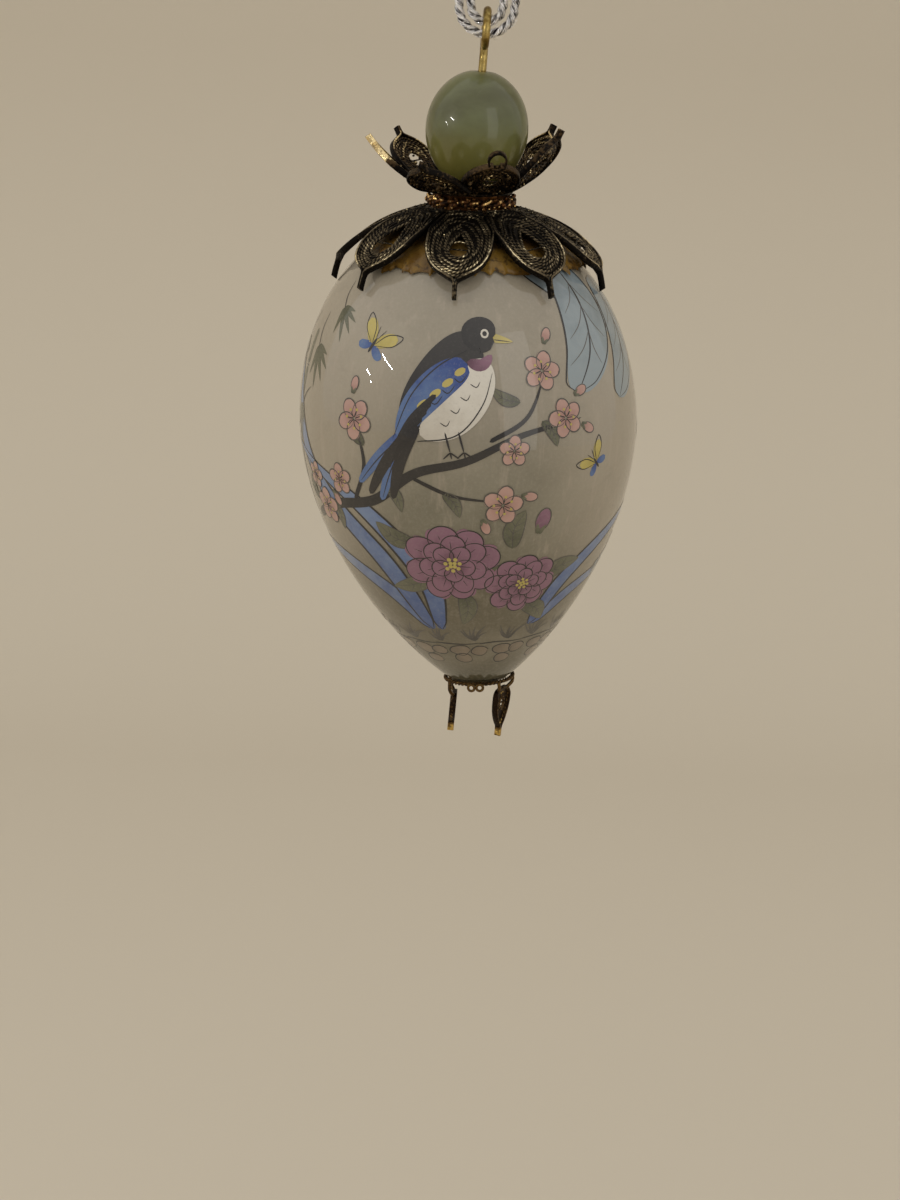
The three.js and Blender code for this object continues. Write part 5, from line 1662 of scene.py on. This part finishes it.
for name, colours in pigmentColours.items():
    title, paint = name[0].upper() + name[1:], pigmentMaterial(name + "Pigment", *colours)
    makePiece("painting" + title, pigments[name], fromEgg, paint, "ornament", "milky_glass")
print("painting done")

# Foot cap: wire rim, two small rings, and two folded petals on wire shoulders
footSettings = {
    "rimRadius": 4.55, "wire": 0.6, "rimGap": 0.3, "strand": 0.16, "strandOffset": 0.14, "rimLays": 26,
    "ringWire": 0.36, "ringDiameter": 0.86, "ringAzimuths": (-14, -0.5), "ringDrop": 0.42, "ringReach": 4.85,
    "legs": ({"azimuth": -92, "lean": -8, "drop": 2.1, "length": 4.3},
             {"azimuth": 64, "lean": 9, "drop": 1.3, "length": 5.7}),
    "legRadius": 3.05, "legSpread": 30, "shoulderWire": 0.5, "nibGold": 0.75,
}
legWork = {**filigreeWork, "wires": 2, "stripSteps": 120, "wireSteps": 90, "strip": 0.32}


def footSheets(settings):
    s = settings
    upward, sheets = np.array([0, 0, 1.0]), []
    rimHeight = eggShape["foot"] - s["rimGap"] - s["wire"] / 2
    # the rim is two strands twisted together round the circle
    turn = fullTurn(400)
    circle, outwards = aboutZ(s["rimRadius"], turn, rimHeight), aboutZ(1, turn, 0)
    for phase in (0, np.pi):
        wind = (s["rimLays"] * turn + phase)[:, None]
        strand = circle + s["strandOffset"] * (np.cos(wind) * outwards + np.sin(wind) * upward)
        sheets.append(wireSheet(strand, s["strand"], 7, upward, 0.3, True))
    small = fullTurn(40)[:, None]
    for a in np.radians(s["ringAzimuths"]):
        sideways, away = np.array([math.cos(a), math.sin(a), 0]), np.array([math.sin(a), -math.cos(a), 0])
        middle = s["ringReach"] * away + (rimHeight - s["ringDrop"]) * upward
        ring = middle + s["ringDiameter"] / 2 * (np.cos(small) * sideways + np.sin(small) * upward)
        sheets.append(wireSheet(ring, s["ringWire"] / 2, 10, away, 0.55, True))
    for leg in s["legs"]:
        azimuth = math.radians(leg["azimuth"])
        guide = arcGuide(s["legRadius"], rimHeight - leg["drop"], math.radians(-90 - leg["lean"]), 1e-4)
        petal = {**legPetal, "length": leg["length"]}
        unlimited = lambda along: petal["width"] + 0 * along
        sheets += petalSheets(petal, guide, azimuth, unlimited, legWork, tipGold=s["nibGold"])
        for side in (-1, 1):
            corner = laid(guide, azimuth, 0.35, side * petal["width"] / 3.2, 0.45)
            rimPoint = aboutZ(s["rimRadius"], azimuth + side * math.radians(s["legSpread"]), rimHeight)
            middle = np.array([0.3, 0.3, 0.6]) * corner + np.array([0.74, 0.74, 0.4]) * rimPoint
            shoulder = throughPoints([rimPoint, middle, corner], 24)
            sheets.append(wireSheet(shoulder, s["shoulderWire"] / 2, 10, np.array([0.3, 0.2, 1.0]), 0.4))
    return sheets


makePiece("footCap", footSheets(footSettings), fromEgg, footMetal, "ornament", "aged_brass", "foot_cap")


plugSettings = {
    "around": 72, "above": 1.3,
    "radius": (0.05, 2.9, 3.1, 3.2, 3.9, 3.85, 3.2, 2.0, 0.05),
    "height": (0, 0, -0.2, -1.3, -1.65, -1.95, -2.15, -2.22, -2.25),
}


def footPlugSheets(settings):
    # a plug in the glass's foot with a domed pad below: radius against height, lumpy with azimuth
    around, top = fullTurn(settings["around"])[None, :], eggShape["foot"] + settings["above"]
    radius = np.array(settings["radius"])[:, None]
    height = np.array(settings["height"])[:, None] + top
    lump = 1 + 0.03 * np.sin(5 * around) + 0.02 * np.sin(11 * around + 2)
    return [sheetOf(aboutZ(radius * lump, around, height), closeColumns=True, capEnds=True, wearShadeAndTone=0.7)]


makePiece("footAdhesive", footPlugSheets(plugSettings), fromEgg, umberAdhesive, "ornament",
          "amber_adhesive", "foot_adhesive")
print("foot done")

# Studio: pale warm floor that curves up into a wall, soft lamps, plain world
studio = {
    "floor": -0.2, "wall": 0.42, "curve": 0.16, "width": 1.6, "front": -0.7, "top": 0.75,
    "colour": linear(203, 193, 175), "drift": linear(211, 201, 184),
    "skyBelow": linear(150, 146, 140), "skyAbove": linear(232, 230, 226), "skyStrength": 1.14,
    "lamps": (
        {"name": "key", "place": (-0.507, -0.28, 0.123), "size": (0.12, 0.004), "power": 0.36, "roll": -22},
        {"name": "second", "place": (-0.57, -0.16, 0.05), "size": (0.04, 0.006), "power": 0.09, "roll": -22},
        {"name": "third", "place": (-0.57, -0.2, 0.02), "size": (0.012, 0.006), "power": 0.03, "roll": -22},
        {"name": "window", "place": (0.34, -0.5, 0.1), "size": (0.26, 0.6), "power": 0.42, "roll": 0},
    ),
    "lampColour": (1.0, 0.97, 0.93),
    "aim": (0, 0, -0.06),
}


def makeSweep(s):
    # the sweep is a profile of floor, quarter circle and wall carried along X
    angle = np.linspace(0, np.pi / 2, 16)
    curveY = s["wall"] - s["curve"] + s["curve"] * np.sin(angle)
    curveZ = s["floor"] + s["curve"] - s["curve"] * np.cos(angle)
    y = np.concatenate([[s["front"]], curveY, [s["wall"]]])[:, None]
    z = np.concatenate([[s["floor"]], curveZ, [s["top"]]])[:, None]
    x = np.array([[-s["width"] / 2, s["width"] / 2]])
    points = pointsOf(x, y, z) * 1000
    sweep = meshObject("studioSweep", [sheetOf(points, flip=True)])
    material, nodes, shader = newMaterial("studioPaper")
    drift = nodes.ramp(nodes.noise(nodes.objectPlace(), 2.2, 2, 0.5), 0.3, 0.7, 0, 0.25)
    nodes.dress(shader, {"Base Color": nodes.mixed(drift, s["colour"], s["drift"]), "Roughness": 0.9})
    sweep.data.materials.append(material)
    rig.stage(sweep)


def makeSky(s):
    # a plain sky, paler above
    world = bpy.data.worlds.new("world")
    world.use_nodes = True
    sky = Nodes(world.node_tree)
    height = sky.axes(sky.add("ShaderNodeTexCoord").outputs["Generated"])[2]
    colour = sky.mixed(sky.ramp(height, -0.5, 0.9), s["skyBelow"], s["skyAbove"])
    sky.dress(world.node_tree.nodes["Background"], {"Color": colour, "Strength": s["skyStrength"]})
    bpy.context.scene.world = world


def makeLamps(s):
    # each lamp faces the aim, rolled about its own line of sight
    for lamp in s["lamps"]:
        data = bpy.data.lights.new(lamp["name"], "AREA")
        data.shape = "RECTANGLE"
        data.size, data.size_y = lamp["size"]
        data.energy, data.color = lamp["power"], s["lampColour"]
        back = unit(np.array(lamp["place"]) - np.array(s["aim"]))
        level, roll = unit(np.cross([0, 0, 1.0], back)), math.radians(lamp["roll"])
        right = math.cos(roll) * level + math.sin(roll) * np.cross(back, level)
        placeObject(lamp["name"], data, right, np.cross(back, right), lamp["place"])


for make in (makeSweep, makeSky, makeLamps):
    make(studio)

with open("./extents.json", "w") as out:
    json.dump({"cad": [list(c) for c in cadBox], "visual": [list(c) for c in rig.bounds()]}, out)
